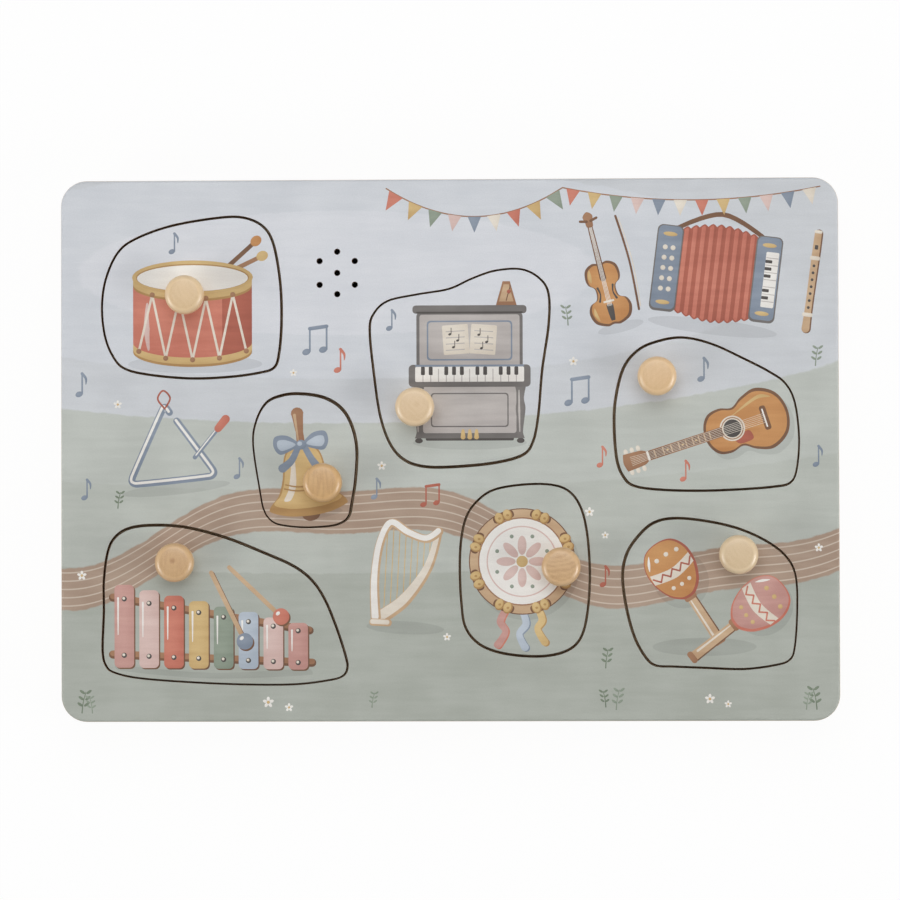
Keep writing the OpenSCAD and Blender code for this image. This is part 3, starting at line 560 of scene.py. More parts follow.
# Printed board: the plywood face, printed before cutting, with seven laser-cut openings and the sound holes.
# The laser leaves a dark rim and brown walls, and the outer edge is rounded and sanded pale.

board_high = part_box("top_board")[1]
BOARD_FACE = board_high.z
BOARD_CORNER = 10 * MM
CHARRED_RIM = 0.1 * MM
RIM_DROP = 0.1 * MM
OUTER_ROUND = 0.9 * MM
ROUND_STEP = 0.3 * MM
ROUND_SLACK = 0.05 * MM
BORE_REACH = 4 * MM
SOUND_FIELD = 14 * MM
LEVEL = 0.99
SAME_PAINT = 0.0005


def held(tree, value):
    """The value, kept between 0 and 1."""
    return put(tree, "Clamp", {0: value}).outputs[0]


def scaled(tree, colour, level):
    """A colour, made brighter or darker by a level."""
    return put(tree, "VectorMath", {0: colour, "Scale": level}, operation="SCALE").outputs[0]


def gouache_effect():
    """Matt printed paint: soft mottling, slanting brush marks, fine paper tooth, and shade within a form."""
    tree, start, close = new_effect("gouache", **tones((220, 220, 220), (180, 180, 180)), Form=0.0)
    place = start["Place"]
    wash = cloudy(tree, place, 0.045, 4.0)
    slant = {"Vector": place, "Rotation": (0, 0, 0.45), "Scale": (0.05, 0.42, 1.0)}
    brush = cloudy(tree, put(tree, "Mapping", slant).outputs[0], 1.0, 4.0)
    tooth = cloudy(tree, place, 2.2, 3.0)
    painted = put(tree, "Attribute", attribute_name="form").outputs["Vector"]
    lit = put(tree, "VectorMath", {0: painted, 1: (0.34, 0.7, 0.0)}, operation="DISTANCE").outputs["Value"]
    form = calc(tree, "MULTIPLY", spread(tree, lit, 0.12, 0.95), start["Form"])
    mottle = weighed(tree, (wash, 0.6), (brush, 0.4))
    share = calc(tree, "ADD", form, spread(tree, mottle, 0.3, 0.7, -0.05, 0.7))
    plain = mixed(tree, held(tree, share), start["Light"], start["Dark"])
    return close(
        Colour=scaled(tree, plain, spread(tree, tooth, 0.25, 0.75, 0.96, 1.03)),
        Roughness=spread(tree, tooth, 0.2, 0.8, 0.52, 0.64),
        Height=tooth,
    )


def charred_effect():
    """Wood browned by the laser: fine upright ripples, and layers of which every other one is darker."""
    browns = tones((170, 130, 92), (76, 55, 41))
    tree, start, close = new_effect("charred", **browns, Bottom=0.0, Ply=1.0)
    ripple = cloudy(tree, start["Place"], 1.0, 3.0, (2.6, 2.6, 0.12))
    cross = ply_layers(tree, start)[1]
    burnt = calc(tree, "MULTIPLY_ADD", cross, 0.3, spread(tree, ripple, 0.25, 0.75, 0.2, 0.95))
    return close(
        Colour=mixed(tree, held(tree, burnt), start["Light"], start["Dark"]),
        Roughness=spread(tree, ripple, 0.2, 0.8, 0.55, 0.75),
        Height=ripple,
    )


gouache = gouache_effect()
charred = charred_effect()

# Ripples of the ground round the sound holes: how far each reaches in mm, and its light and deep tone.
RIPPLES = (
    (24, (217, 219, 224), (205, 208, 214)),
    (41, (211, 214, 219), (198, 202, 208)),
    (58, (205, 208, 212), (192, 195, 199)),
    (84, (191, 195, 189), (176, 180, 174)),
    (116, (186, 190, 183), (170, 174, 167)),
    (999, (174, 178, 170), (158, 162, 153)),
)
RIPPLE_STRETCH = 0.24

# The ribbon of five lines: its middle, the rise, length and start of each swing, its half width and line gap.
STAVE_MIDDLE = -36.0
STAVE_SWINGS = ((16.0, 250.0, 2.6), (4.0, 95.0, 1.2))
STAVE_HALF = 8.2
STAVE_GAP = 3.2
PAINT_EDGE = 0.4
PRINT_SHEEN = {"Specular IOR Level": 0.35}


def ground_print(name, level):
    """The print's ground: pale ripples that deepen to sage away from the sound holes, and a tan ribbon of
    five lines, all scaled by a level."""
    made, tree = new_finish(name)
    place = place_in_mm(tree)
    split = apart(tree, place)
    uneven = calc(tree, "MULTIPLY", calc(tree, "SUBTRACT", cloudy(tree, place, 0.25, 2.0), 0.5), 1.4)
    sound_middle = (*(SPEAKER_AXIS.xy / MM), 0)
    over = put(tree, "VectorMath", {0: place, 1: sound_middle}, operation="SUBTRACT").outputs[0]
    reach = calc(tree, "ADD", from_axis(tree, over, (RIPPLE_STRETCH, 1, 0)), uneven)
    light, dark = (tone(*shade) for shade in RIPPLES[0][1:])
    for (edge, *_), (_, next_light, next_dark) in zip(RIPPLES, RIPPLES[1:]):
        past = spread(tree, reach, edge - PAINT_EDGE, edge + PAINT_EDGE)
        light = mixed(tree, past, light, tone(*next_light))
        dark = mixed(tree, past, dark, tone(*next_dark))

    line = STAVE_MIDDLE
    for rise, length, start in STAVE_SWINGS:
        turn = calc(tree, "MULTIPLY_ADD", split[0], 2 * math.pi / length, start)
        line = calc(tree, "MULTIPLY_ADD", calc(tree, "SINE", turn), rise, line)
    off_line = calc(tree, "ABSOLUTE", calc(tree, "SUBTRACT", line, split[1]))
    rough_edge = calc(tree, "ADD", off_line, uneven)
    on_stave = spread(tree, rough_edge, STAVE_HALF + PAINT_EDGE, STAVE_HALF - PAINT_EDGE)
    light = mixed(tree, on_stave, light, tone(171, 150, 133))
    dark = mixed(tree, on_stave, dark, tone(151, 128, 111))
    painted = use_effect(tree, gouache, place, Light=light, Dark=dark)

    ruled = spread(tree, calc(tree, "PINGPONG", off_line, STAVE_GAP / 2), 0.32, 0.18, 0.0, 0.6)
    colour = mixed(tree, calc(tree, "MULTIPLY", ruled, on_stave), painted["Colour"], tone(214, 202, 187))
    ends = {end: painted[end] for end in ("Roughness", "Height")}
    finish_with(tree, {"Colour": scaled(tree, colour, level), **ends}, 0.02, PRINT_SHEEN)
    return made


def pick(piece, test, kind):
    """Selects the faces, or the points, that pass a test of their place and normal, and nothing else."""
    bpy.ops.object.mode_set(mode="EDIT")
    bpy.ops.mesh.select_mode(type=kind)
    bpy.ops.mesh.select_all(action="DESELECT")
    bpy.ops.object.mode_set(mode="OBJECT")
    if kind == "FACE":
        for face in piece.data.polygons:
            face.select = test(face.center, face.normal)
    else:
        for point in piece.data.vertices:
            point.select = test(point.co, point.normal)
    bpy.ops.object.mode_set(mode="EDIT")


def outer_depth(point):
    """How far inside the board's rounded outline a point lies."""
    x = abs(point.x) - (board_high.x - BOARD_CORNER)
    y = abs(point.y) - (board_high.y - BOARD_CORNER)
    return BOARD_CORNER - math.hypot(max(x, 0), max(y, 0)) - min(max(x, y), 0)


def cut_sheet(node, name, plug=None):
    """Rebuilds a cut sheet from its face: a charred rim along each cut, straight walls and a flat underside.
    A plug is the middle of a bore in the face that is closed over."""
    piece = copy_of(node, name)
    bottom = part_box(node)[0].z
    pick(piece, lambda middle, normal: normal.z < 0.9, "FACE")
    bpy.ops.mesh.delete(type="FACE")
    if plug:
        pick(piece, lambda place, normal: (place.xy - plug.xy).length < BORE_REACH, "VERT")
        bpy.ops.mesh.edge_face_add()
        bpy.ops.mesh.select_all(action="SELECT")
        bpy.ops.mesh.dissolve_limited(angle_limit=SAME_PLANE)
    bpy.ops.mesh.select_mode(type="FACE")
    bpy.ops.mesh.select_all(action="SELECT")
    bpy.ops.mesh.inset(thickness=CHARRED_RIM)
    if not plug:
        bpy.ops.mesh.inset(thickness=ROUND_STEP)
        bpy.ops.mesh.inset(thickness=OUTER_ROUND - CHARRED_RIM - ROUND_STEP)
    bpy.ops.mesh.select_mode(type="EDGE")
    bpy.ops.mesh.select_all(action="DESELECT")
    bpy.ops.mesh.select_non_manifold(extend=False)
    bpy.ops.transform.translate(value=(0, 0, -RIM_DROP))
    bpy.ops.mesh.extrude_edges_move()
    bpy.ops.transform.resize(value=(1, 1, 0), center_override=(0, 0, bottom))
    if plug:
        bpy.ops.mesh.edge_face_add()
    else:
        bpy.ops.mesh.fill(use_beauty=True)
    bpy.ops.mesh.select_all(action="SELECT")
    bpy.ops.mesh.normals_make_consistent(inside=False)
    bpy.ops.object.mode_set(mode="OBJECT")
    return piece


face_print = ground_print("ground_print", 1.0)
board_layers = layers_of("top_board", 5)
# Painted light: the walls of the board's openings take paler browns than the pieces' walls, as if lit inside
# the gaps.
painted_light_wall = tones((206, 164, 118), (122, 92, 64))
SHEET_FINISHES = {
    "print": face_print,
    "rim": finish("rim_wood", charred, 0.02, **tones((122, 96, 73), (70, 54, 42))),
    "cut": finish("cut_wood", charred, 0.05, **board_layers),
    "bare": finish("board_ply", plywood, 0.06, **board_layers),
    "painted_light_wall": finish("painted_light_wall_wood", charred, 0.05, **painted_light_wall, **board_layers),
}


def sort_finishes(piece, outer):
    """Gives a cut sheet its print on the face, char on the cuts, painted light on the board's walls, and bare
    plywood elsewhere.
    """
    for made in SHEET_FINISHES.values():
        piece.data.materials.append(made)
    order = list(SHEET_FINISHES)
    for face in piece.data.polygons:
        rise = face.normal.z
        if rise < -0.9:
            kind = "bare"
        elif outer and outer_depth(face.center) < 0.8 * OUTER_ROUND:
            kind = "print" if rise > 0.5 else "bare"
        elif abs(rise) < 0.3:
            at_sound_hole = (face.center.xy - SPEAKER_AXIS.xy).length < SOUND_FIELD
            # Painted light: the board's walls are paler, while the sound holes keep the darker char and read
            # dark.
            kind = "painted_light_wall" if outer and not at_sound_hole else "cut"
        else:
            kind = "print" if rise > LEVEL else "rim"
        face.material_index = order.index(kind)
    bpy.ops.object.shade_smooth_by_angle(angle=SOFT_BEND)


# Inks of the print: each colour's light and deep tone. Shade is the ground itself, a little darker.
INKS = {
    "chalk": ((240, 238, 233), (222, 217, 211)),
    "cream": ((231, 223, 210), (208, 197, 182)),
    "blush": ((221, 197, 190), (199, 168, 161)),
    "rose": ((204, 161, 152), (177, 130, 122)),
    "terracotta": ((207, 134, 115), (181, 104, 87)),
    "rust": ((176, 101, 83), (149, 82, 67)),
    "orange": ((204, 153, 101), (176, 121, 72)),
    "mustard": ((214, 187, 135), (188, 155, 103)),
    "ochre": ((184, 147, 96), (157, 121, 76)),
    "tan": ((205, 177, 145), (179, 147, 115)),
    "walnut": ((167, 127, 97), (138, 100, 75)),
    "bark": ((125, 92, 69), (101, 72, 54)),
    "mist": ((190, 199, 209), (164, 174, 186)),
    "slate": ((143, 153, 167), (115, 126, 141)),
    "stone": ((196, 190, 186), (168, 161, 158)),
    "charcoal": ((125, 121, 118), (98, 94, 92)),
    "ink": ((82, 77, 74), (64, 60, 58)),
    "sage": ((150, 160, 145), (125, 136, 121)),
    "moss": ((126, 138, 119), (103, 115, 98)),
}
inks = {"shade": ground_print("ground_shade", 0.86)}
for ink, shades in INKS.items():
    inks[ink] = finish("ink_" + ink, gouache, 0.02, sockets=PRINT_SHEEN, **tones(*shades), Form=0.5)


def smooth(points, closed=True, steps=6):
    """A soft line through points in mm. A point with a third value is a sharp corner."""
    count = len(points)
    at = [Vector(p[:2]) for p in points]

    def lean(index, span):
        if len(points[index % count]) > 2 or (not closed and index in (0, count - 1)):
            return Vector((0, 0))
        slope = (at[(index + 1) % count] - at[index % count - 1]) / 2
        return slope * min(1, span.length / max(slope.length, 0.001))

    line = []
    for index in range(count if closed else count - 1):
        start, end = at[index], at[(index + 1) % count]
        leaving, coming = lean(index, end - start), lean(index + 1, end - start)
        for step in range(steps):
            t = step / steps
            ease = t * t * (3 - 2 * t)
            between = start * (1 - ease) + end * ease
            line.append(between + leaving * t * (1 - t) ** 2 - coming * t * t * (1 - t))
    return line if closed else line + [at[-1]]


def polar(reach, degrees):
    """A place at a distance and an angle from the middle."""
    a = math.radians(degrees)
    return Vector((reach * math.cos(a), reach * math.sin(a)))


def oval(x, y, width, height, turn=0.0, sides=36):
    """An oval about its middle, turned by degrees."""
    lean = Matrix.Rotation(math.radians(turn), 2)
    line = []
    for k in range(sides):
        a = 2 * math.pi * k / sides
        line.append(Vector((x, y)) + lean @ Vector((width / 2 * math.cos(a), height / 2 * math.sin(a))))
    return line


def panel(x, y, width, height, corner=0.6, turn=0.0):
    """A bar with rounded corners about its middle, turned by degrees."""
    lean = Matrix.Rotation(math.radians(turn), 2)
    line = []
    for quarter, (right, top) in enumerate(((1, 1), (-1, 1), (-1, -1), (1, -1))):
        middle = Vector((right * (width / 2 - corner), top * (height / 2 - corner)))
        for step in range(5):
            line.append(Vector((x, y)) + lean @ (middle + polar(corner, 90 * quarter + 22.5 * step)))
    return line


def stroke(points, *widths):
    """A brush line through points, with rounded ends, whose width passes through the given ones."""
    line = smooth(points, closed=False, steps=8)
    last = len(line) - 1
    left, right, caps = [], [], []
    for index, point in enumerate(line):
        along = (line[min(index + 1, last)] - line[max(index - 1, 0)]).normalized()
        across = Vector((-along.y, along.x))
        share = index / last * (len(widths) - 1)
        first = min(int(share), max(len(widths) - 2, 0))
        second = min(first + 1, len(widths) - 1)
        half = (widths[first] + (widths[second] - widths[first]) * (share - first)) / 2
        left.append(point + across * half)
        right.append(point - across * half)
        if index in (0, last):
            way = along if index else -along
            side = across if index else -across
            turns = [math.radians(a) for a in (60, 30, 0, -30, -60)]
            caps.append([point + half * (way * math.cos(a) + side * math.sin(a)) for a in turns])
    return caps[0] + left + caps[1] + right[::-1]


def mirrored(points):
    """A closed outline from its right half, drawn from the top down."""
    return list(points) + [(-p[0], *p[1:]) for p in reversed(points) if abs(p[0]) > 0.01]


def moved(points, x, y):
    """An outline, set off to one side."""
    return [(px + x, py + y) for px, py in points]


def picture(x, y, turn=0.0, size=1.0):
    """An empty picture at its place on the board, and the brush that lays inks on it, one over the other."""
    films = []
    lean = Matrix.Rotation(math.radians(turn), 2) * size

    def paint(ink, *outlines):
        for outline in outlines:
            films.append((ink, [Vector((x, y)) + lean @ Vector(p) for p in outline]))

    return films, paint


def turning(line):
    """The area of an outline, above 0 where it runs anticlockwise."""
    return sum(a.cross(b) for a, b in zip(line, line[1:] + line[:1])) / 2


def rim_loops(solid, test):
    """The loops of points round the faces of a solid that pass a test, as outlines in mm."""
    rim = set()
    for face in solid.polygons:
        if test(face.center, face.normal):
            around = list(face.vertices)
            for start, end in zip(around, around[1:] + around[:1]):
                if (end, start) in rim:
                    rim.remove((end, start))
                else:
                    rim.add((start, end))
    after = dict(sorted(rim))
    loops = []
    while after:
        start, point = after.popitem()
        loop = [start]
        while point != start:
            loop.append(point)
            point = after.pop(point)
        loops.append([solid.vertices[index].co.xy / MM for index in loop])
    return loops


def lay_print(sheet, *pictures):
    """Divides a sheet's flat face along the outlines painted on it. Each part has the ink laid on it last."""

    def is_face(middle, normal):
        return normal.z > LEVEL and middle.z > BOARD_FACE - RIM_DROP / 10

    films = [(None, loop) for loop in rim_loops(sheet.data, is_face)]
    bare = len(films)
    holes = {index for index, (_, line) in enumerate(films) if turning(line) < 0}
    outer = next(index for index in range(bare) if index not in holes)
    for made in pictures:
        films.extend(made)

    points, outlines = [], []
    for _, line in films:
        around = list(range(len(points), len(points) + len(line)))
        outlines.append(around if turning(line) > 0 else around[::-1])
        points.extend(line)
    places, _, parts, _, _, owners = delaunay_2d_cdt(points, [], outlines, 0, SAME_PAINT, True)
    kept = []
    for part, over in zip(parts, owners):
        if outer in over and not holes.intersection(over):
            kept.append((part, max(over)))

    printed = bpy.data.meshes.new("print")
    printed.from_pydata([(x * MM, y * MM, BOARD_FACE) for x, y in places], [], [part for part, _ in kept])
    used = sorted({films[top][0] for _, top in kept if top >= bare})
    printed.materials.append(face_print)
    for ink in used:
        printed.materials.append(inks[ink])
    form = printed.attributes.new("form", "FLOAT_VECTOR", "CORNER")
    boxes = [[(min(values), max(values)) for values in zip(*line)] for _, line in films]
    for face, (_, top) in zip(printed.polygons, kept):
        if top < bare:
            continue
        face.material_index = 1 + used.index(films[top][0])
        for corner in face.loop_indices:
            place = places[printed.loops[corner].vertex_index]
            shares = [(at - low) / (high - low) for at, (low, high) in zip(place, boxes[top])]
            form.data[corner].vector = (*shares, 0)
    film = new_piece("film", printed)
    pick(sheet, is_face, "FACE")
    bpy.ops.mesh.delete(type="FACE")
    bpy.ops.object.mode_set(mode="OBJECT")
    film.select_set(True)
    bpy.ops.object.join()
    edit_all()
    bpy.ops.mesh.remove_doubles(threshold=1.2 * SAME_PAINT * MM)
    bpy.ops.mesh.delete_loose()
    bpy.ops.object.mode_set(mode="OBJECT")


def note(paint, ink, x, y, tall):
    """An eighth note with its head at a place."""
    wide = tall * 0.36
    foot = (x + wide * 0.42, y + 0.2)
    top = (foot[0], y + tall)
    flag = [top, (top[0] + wide * 0.5, top[1] - tall * 0.24), (top[0] + wide * 0.5, top[1] - tall * 0.52)]
    paint(ink, stroke([foot, top], tall * 0.08), stroke(flag, tall * 0.15, tall * 0.12, tall * 0.03))
    paint(ink, oval(x, y, wide, wide * 0.74, 22))


def beamed(paint, ink, x, y, tall):
    """Two eighth notes under one beam, with the first head at a place."""
    wide, step = tall * 0.36, tall * 0.72
    for shift, rise in ((0, 0), (step, tall * 0.1)):
        foot = (x + shift + wide * 0.42, y + rise + 0.2)
        paint(ink, stroke([foot, (foot[0], foot[1] + tall)], tall * 0.08))
        paint(ink, oval(x + shift, y + rise, wide, wide * 0.74, 22))
    left = (x + wide * 0.42, y + tall)
    paint(ink, stroke([left, (left[0] + step, left[1] + tall * 0.1)], tall * 0.16))


def sprig(paint, ink, x, y, tall, lean):
    """A small stalk with leaves in pairs, from its foot."""
    tip = (x + lean, y + tall)
    paint(ink, stroke([(x, y), (x + lean * 0.3, y + tall * 0.5), tip], 0.5, 0.4, 0.3))
    for share in (0.35, 0.65, 0.95):
        height = y + tall * share + tall * 0.06
        for side in (-1, 1):
            leaf = x + lean * share + side * tall * 0.16
            paint(ink, oval(leaf, height, tall * 0.3, tall * 0.13, side * 35))


def blossom(paint, x, y, wide):
    """A small open flower: five pale petals round a mustard middle."""
    for k in range(5):
        turn = 72 * k + 18
        petal = Vector((x, y)) + polar(wide * 0.3, turn)
        paint("chalk", oval(*petal, wide * 0.44, wide * 0.3, turn, 16))
    paint("mustard", oval(x, y, wide * 0.28, wide * 0.28, sides=16))


# Accordion, on the board's upper right: terracotta bellows between two blue-grey ends, with keys and
# buttons.
accordion, paint = picture(103, 67.5, -7)
paint("shade", oval(1, -20.5, 50, 6))
paint("bark", stroke([(-18, 15), (0, 23), (18, 15)], 1.6, 1.9, 1.6))
for fold in range(9):
    x = -12.8 + 3.2 * fold
    arch = 15.5 + 2.2 * math.cos(math.pi * (fold - 4) / 8)
    for ink, left, right, tip in (("rust", 1.9, 1.9, 1.4), ("terracotta", 1.1, 0.5, 0.9)):
        upper = [(x - left, arch, 1), (x, arch + tip), (x + right, arch, 1)]
        paint(ink, smooth(upper + [(p[0], -p[1], *p[2:]) for p in reversed(upper)]))
for side in (-1, 1):
    paint("charcoal", panel(side * 19.2, 0, 10.2, 33.4, 2.2))
    paint("slate", panel(side * 19.2, 0.3, 9.2, 32.0, 1.9))
    paint("mustard", *[oval(side * 19.2, y, 5.4, 1.7) for y in (13.2, -13.2)])
paint("chalk", panel(20.8, 0, 5.0, 21.4, 0.5))
paint("stone", *[panel(20.8, -8.4 + 2.8 * k, 4.8, 0.3, 0.1) for k in range(7)])
paint("ink", *[panel(19.6, -7.0 + 2.8 * k, 2.6, 1.2, 0.25) for k in range(6) if k != 2])
for x in (-20.6, -17.6):
    paint("cream", *[oval(x, -8 + 4 * row, 1.9, 1.9) for row in range(5)])

# Violin beside it: an orange body in a dark edge, with strings and a bow.
violin, paint = picture(59, 68, 14)
paint("shade", oval(2, -22, 18, 4))
paint("bark", stroke([(10.5, -17), (11.5, 2), (10.5, 20)], 0.9, 0.8, 0.9))
paint("cream", stroke([(11.4, -16), (12.6, 2), (11.4, 19)], 0.4))
violin_edge = mirrored([
    (0, 3.6), (3.0, 4.2), (6.0, 2.4), (6.8, -1.0), (6.2, -3.6), (4.3, -5.2), (3.9, -7.6),
    (4.6, -10.0), (7.2, -11.4), (8.3, -14.6), (6.8, -18.6), (2.6, -20.6), (0, -20.2),
])
paint("bark", smooth(violin_edge))
paint("orange", smooth([(x * 0.87, (y + 8) * 0.93 - 8) for x, y in violin_edge]))
paint("mustard", smooth([(-4.6, 2.2), (-5.6, -0.6), (-4.8, -3.0), (-4.2, -0.4)]))
paint("mustard", smooth([(-6.0, -12.6), (-6.6, -15.2), (-5.0, -18.0), (-5.4, -15.0)]))
paint("bark", stroke([(0, -2), (0, 19)], 2.6, 1.9))
paint("walnut", smooth(mirrored([(0, 24.2), (1.9, 22.6), (1.5, 20.4), (1.2, 18.4), (0, 18.2)])))
for side in (-1, 1):
    paint("bark", stroke([(side * 0.8, 20.6), (side * 3.2, 21.2)], 1.0))
    paint("ink", stroke([(side * 3.0, -5.4), (side * 2.5, -8), (side * 3.3, -10.6)], 0.9, 0.45, 0.9))
paint("cream", panel(0, -11.2, 4.2, 0.8, 0.2))
paint("ink", smooth(mirrored([(0, -12.4), (1.3, -12.6), (0.8, -18.6), (0, -18.8)])))
paint("chalk", *[stroke([(x * 0.6, 18), (x, -13)], 0.2) for x in (-0.75, -0.25, 0.25, 0.75)])

# Recorder at the right end, with its finger holes.
recorder, paint = picture(140, 66, -8)
paint("bark", stroke([(0.3, 17), (0.3, -20)], 3.2, 3.4, 3.0, 3.6))
paint("tan", stroke([(0, 17), (0, -20)], 2.7, 2.9, 2.5, 3.1))
for y, wide, tall in ((7.4, 3.8, 1.5), (-14.6, 3.9, 1.5), (17.6, 3.0, 1.2)):
    paint("cream", panel(0, y, wide, tall, 0.5))
paint("ink", panel(0, 11.6, 1.3, 1.7, 0.3), *[oval(0, 4.4 - 2.7 * k, 1.1, 1.1) for k in range(7)])

# Triangle and beater, on the left between the pieces.
triangle, paint = picture(-108, 0, 6)
paint("shade", oval(1, -14.8, 42, 4.5))
bar = [
    (1.6, 14.8), (0, 17.0), (-1.6, 15.2), (-15.2, -8.4), (-15.6, -10.4), (-13.8, -11.4), (14.6, -11.4),
    (16.2, -10.2), (15.4, -8.0), (4.0, 11.2),
]
paint("slate", stroke(bar, 2.7))
paint("chalk", stroke(moved(bar, -0.3, 0.35), 1.0))
paint("rust", stroke([(0, 16.4), (-2.4, 20.4), (0, 23.4), (2.4, 20.4), (0.4, 17.0)], 0.7))
paint("slate", stroke([(9.5, -3.5), (22.5, 9.5)], 1.7, 1.5))
paint("chalk", stroke([(10, -2.7), (21.8, 9.3)], 0.5))
paint("terracotta", stroke([(19.6, 6.6), (22.9, 9.9)], 2.9, 3.3))

# Small harp in the middle, below the piano: a cream frame with fine strings.
harp, paint = picture(-17, -47, -3)
paint("shade", oval(1, -21.4, 30, 5))
frame_line = [(-10.5, -18), (-11.6, -4), (-10.4, 10), (-6.4, 18.6), (0.6, 15.2), (7.6, 13.2), (12.2, 16.2)]
belly = [(12.2, 15.6), (8.6, 2), (0, -11), (-9.6, -18.4)]
for x in (-7.6, -5.2, -2.8, -0.4, 2.0, 4.4, 6.8, 9.0):
    upper = 14.9 - 0.17 * x + 0.012 * (x - 2) ** 2
    lower = 1.15 * x - 7.6 - 0.03 * (x - 1) ** 2
    paint("mustard", stroke([(x, upper), (x, lower)], 0.32))
paint("tan", stroke(belly, 2.4, 3.6, 5.0, 5.6))
paint("cream", stroke(moved(belly, -0.4, 0.4), 1.6, 2.5, 3.6, 4.0))
paint("tan", stroke(frame_line, 4.0, 3.4, 3.2, 3.4, 3.2, 3.4))
paint("chalk", stroke(moved(frame_line, -0.3, 0.3), 2.8, 2.3, 2.1, 2.3, 2.1, 2.2))
paint("tan", panel(-8.6, -19.8, 8.6, 2.8, 1.2))
paint("cream", panel(-8.9, -19.6, 7.4, 1.8, 0.8))

# Bunting below the top edge, and notes, sprigs and blossoms between the pieces.
trim, paint = picture(0, 0)
PENNANTS = ("terracotta", "mustard", "sage", "blush", "slate", "cream")
PENNANT_HALF = 2.6
GARLAND_ENDS = 101


def hung(left, right, sag, share):
    """A place along a garland, which sags between its ends."""
    return left + (right - left) * share, GARLAND_ENDS - sag * 4 * share * (1 - share)


for left, right, sag, flags in ((-24, 44, 11, 9), (44, 143, 5, 12)):
    paint("walnut", stroke([hung(left, right, sag, k / 12) for k in range(13)], 0.5))
    for k in range(flags):
        share = (k + 0.5) / flags
        x, y = hung(left, right, sag, share)
        tilt = -sag * 4 * (1 - 2 * share) / (right - left)
        pennant = [(x + end, y + end * tilt, 1) for end in (-PENNANT_HALF, PENNANT_HALF)]
        paint(PENNANTS[k % len(PENNANTS)], smooth(pennant + [(x + 7 * tilt, y - 6.2, 1)]))
for x, y, tall, ink in ((46, 18, 9, "slate"), (-55, 38, 9, "slate"), (-10, -21, 7, "rust")):
    beamed(paint, ink, x, y, tall)
for x, y, tall, ink in (
    (-43, 31, 8, "terracotta"), (58, -6, 7, "terracotta"), (59, -52, 7, "rust"), (-143, 22, 8, "slate"),
    (-141, -18, 7, "slate"), (-82, -10, 7, "slate"), (-29, -18, 7, "slate"), (141, -6, 7, "slate"),
):
    note(paint, ink, x, y, tall)
for x, y, tall, lean, ink in (
    (-142, -101, 8, 1.5, "moss"), (-138, -101, 6, -1, "sage"), (-30, -99, 5.5, 1, "sage"),
    (60, -99, 6, -1, "moss"), (64, -100, 7.5, 1.2, "sage"), (141, -100, 8, -1.5, "moss"),
    (137, -100, 6, 1, "sage"), (141, 32, 7, 1, "sage"), (46, 48, 7, -1, "sage"),
    (-128, -22, 6, 1, "moss"), (60, -84, 7, 1, "moss"),
):
    sprig(paint, ink, x, y, tall, lean)
for x, y, wide in (
    (-70, -97, 4.2), (-62, -99, 3.2), (-142, -48, 3.6), (-26, -6, 3.4), (54, -24, 3.6), (60, -33, 2.8),
    (48, 34, 3.4), (-60, 30, 2.8), (-128, 18, 3.2), (100, -96, 3.8), (107, -98, 2.8), (142, -38, 3.2),
    (-1, -72, 3.0),
):
    blossom(paint, x, y, wide)

board = cut_sheet("top_board", "printed_board")
for point in board.data.vertices:
    inside = outer_depth(point.co)
    if point.co.z > BOARD_FACE - OUTER_ROUND and inside < OUTER_ROUND - ROUND_SLACK:
        run = 1 - max(inside, 0) / OUTER_ROUND
        point.co.z = BOARD_FACE - OUTER_ROUND * (1 - math.sqrt(max(1 - run * run, 0)))
sort_finishes(board, True)
lay_print(board, accordion, violin, recorder, triangle, harp, trim)
seat(board, "root", "top_board")


# Picture pieces: seven pieces cut from the same printed sheet, each loose in its opening by the width of
# the cut. The ground of the print runs on across the cuts, and each piece carries one painted instrument.


def cut_out(name, *pictures):
    """One picture piece with its print, closed over the bore for its knob."""
    piece = cut_sheet(name + "_piece", name + "_cutout", middle_of(name + "_knob"))
    sort_finishes(piece, False)
    lay_print(piece, *pictures)
    seat(piece, name, name + "_piece")


# Drum: a terracotta shell between mustard hoops, laced with cord, with two sticks.
drum, paint = picture(-99, 54)
DRUM_HALF = 23.0
DRUM_DEEP = 5.8


def hoop(middle, low, high, start=180):
    """A band round the front of the drum, between two heights from its middle."""
    turns = [math.radians(a) for a in range(start, 361, 6)]
    arc = [(DRUM_HALF * math.cos(a), middle + DRUM_DEEP * math.sin(a)) for a in turns]
    return [(x, y + low) for x, y in arc] + [(x, y + high) for x, y in reversed(arc)]


paint("shade", oval(1, -20.5, 52, 7))
paint("bark", stroke([(8, 12), (24.2, 26.6)], 1.9, 1.6))
paint("walnut", stroke([(10, 13), (26.6, 21)], 1.9, 1.6))
paint("orange", oval(24.6, 27, 4.6, 3.8, 42))
paint("mustard", oval(27, 21.2, 4.6, 3.8, 25))
paint("terracotta", hoop(-15, 0, 28))
paint("rust", hoop(-15, 0, 28, 300))
paint("blush", stroke([(-17.5, 3), (-17.8, -7), (-17, -15)], 0.6, 2.4, 0.6))
lacing = []
for k in range(9):
    x = -20.8 + 5.2 * k
    dip = DRUM_DEEP * math.sqrt(1 - (x / DRUM_HALF) ** 2)
    lacing.append((x, (10.6 if k % 2 else -13.0) - dip))
paint("cream", *[stroke(pair, 0.9) for pair in zip(lacing, lacing[1:])])
paint("mustard", hoop(-15, -0.8, 2.8), hoop(13, -3.4, 0.3))
paint("ochre", hoop(-15, -0.8, 0.2), hoop(13, -3.4, -2.5))
paint("walnut", *[oval(x, y, 2.0, 2.0) for x, y in lacing])
paint("mustard", oval(0, 13, 2 * DRUM_HALF + 0.8, 2 * DRUM_DEEP + 1.6))
paint("ochre", oval(0, 12.9, 2 * DRUM_HALF - 2.2, 2 * DRUM_DEEP - 0.8))
paint("chalk", oval(0, 12.7, 2 * DRUM_HALF - 3.0, 2 * DRUM_DEEP - 1.5))
note(paint, "slate", -8, 23, 7)
cut_out("drum", drum)

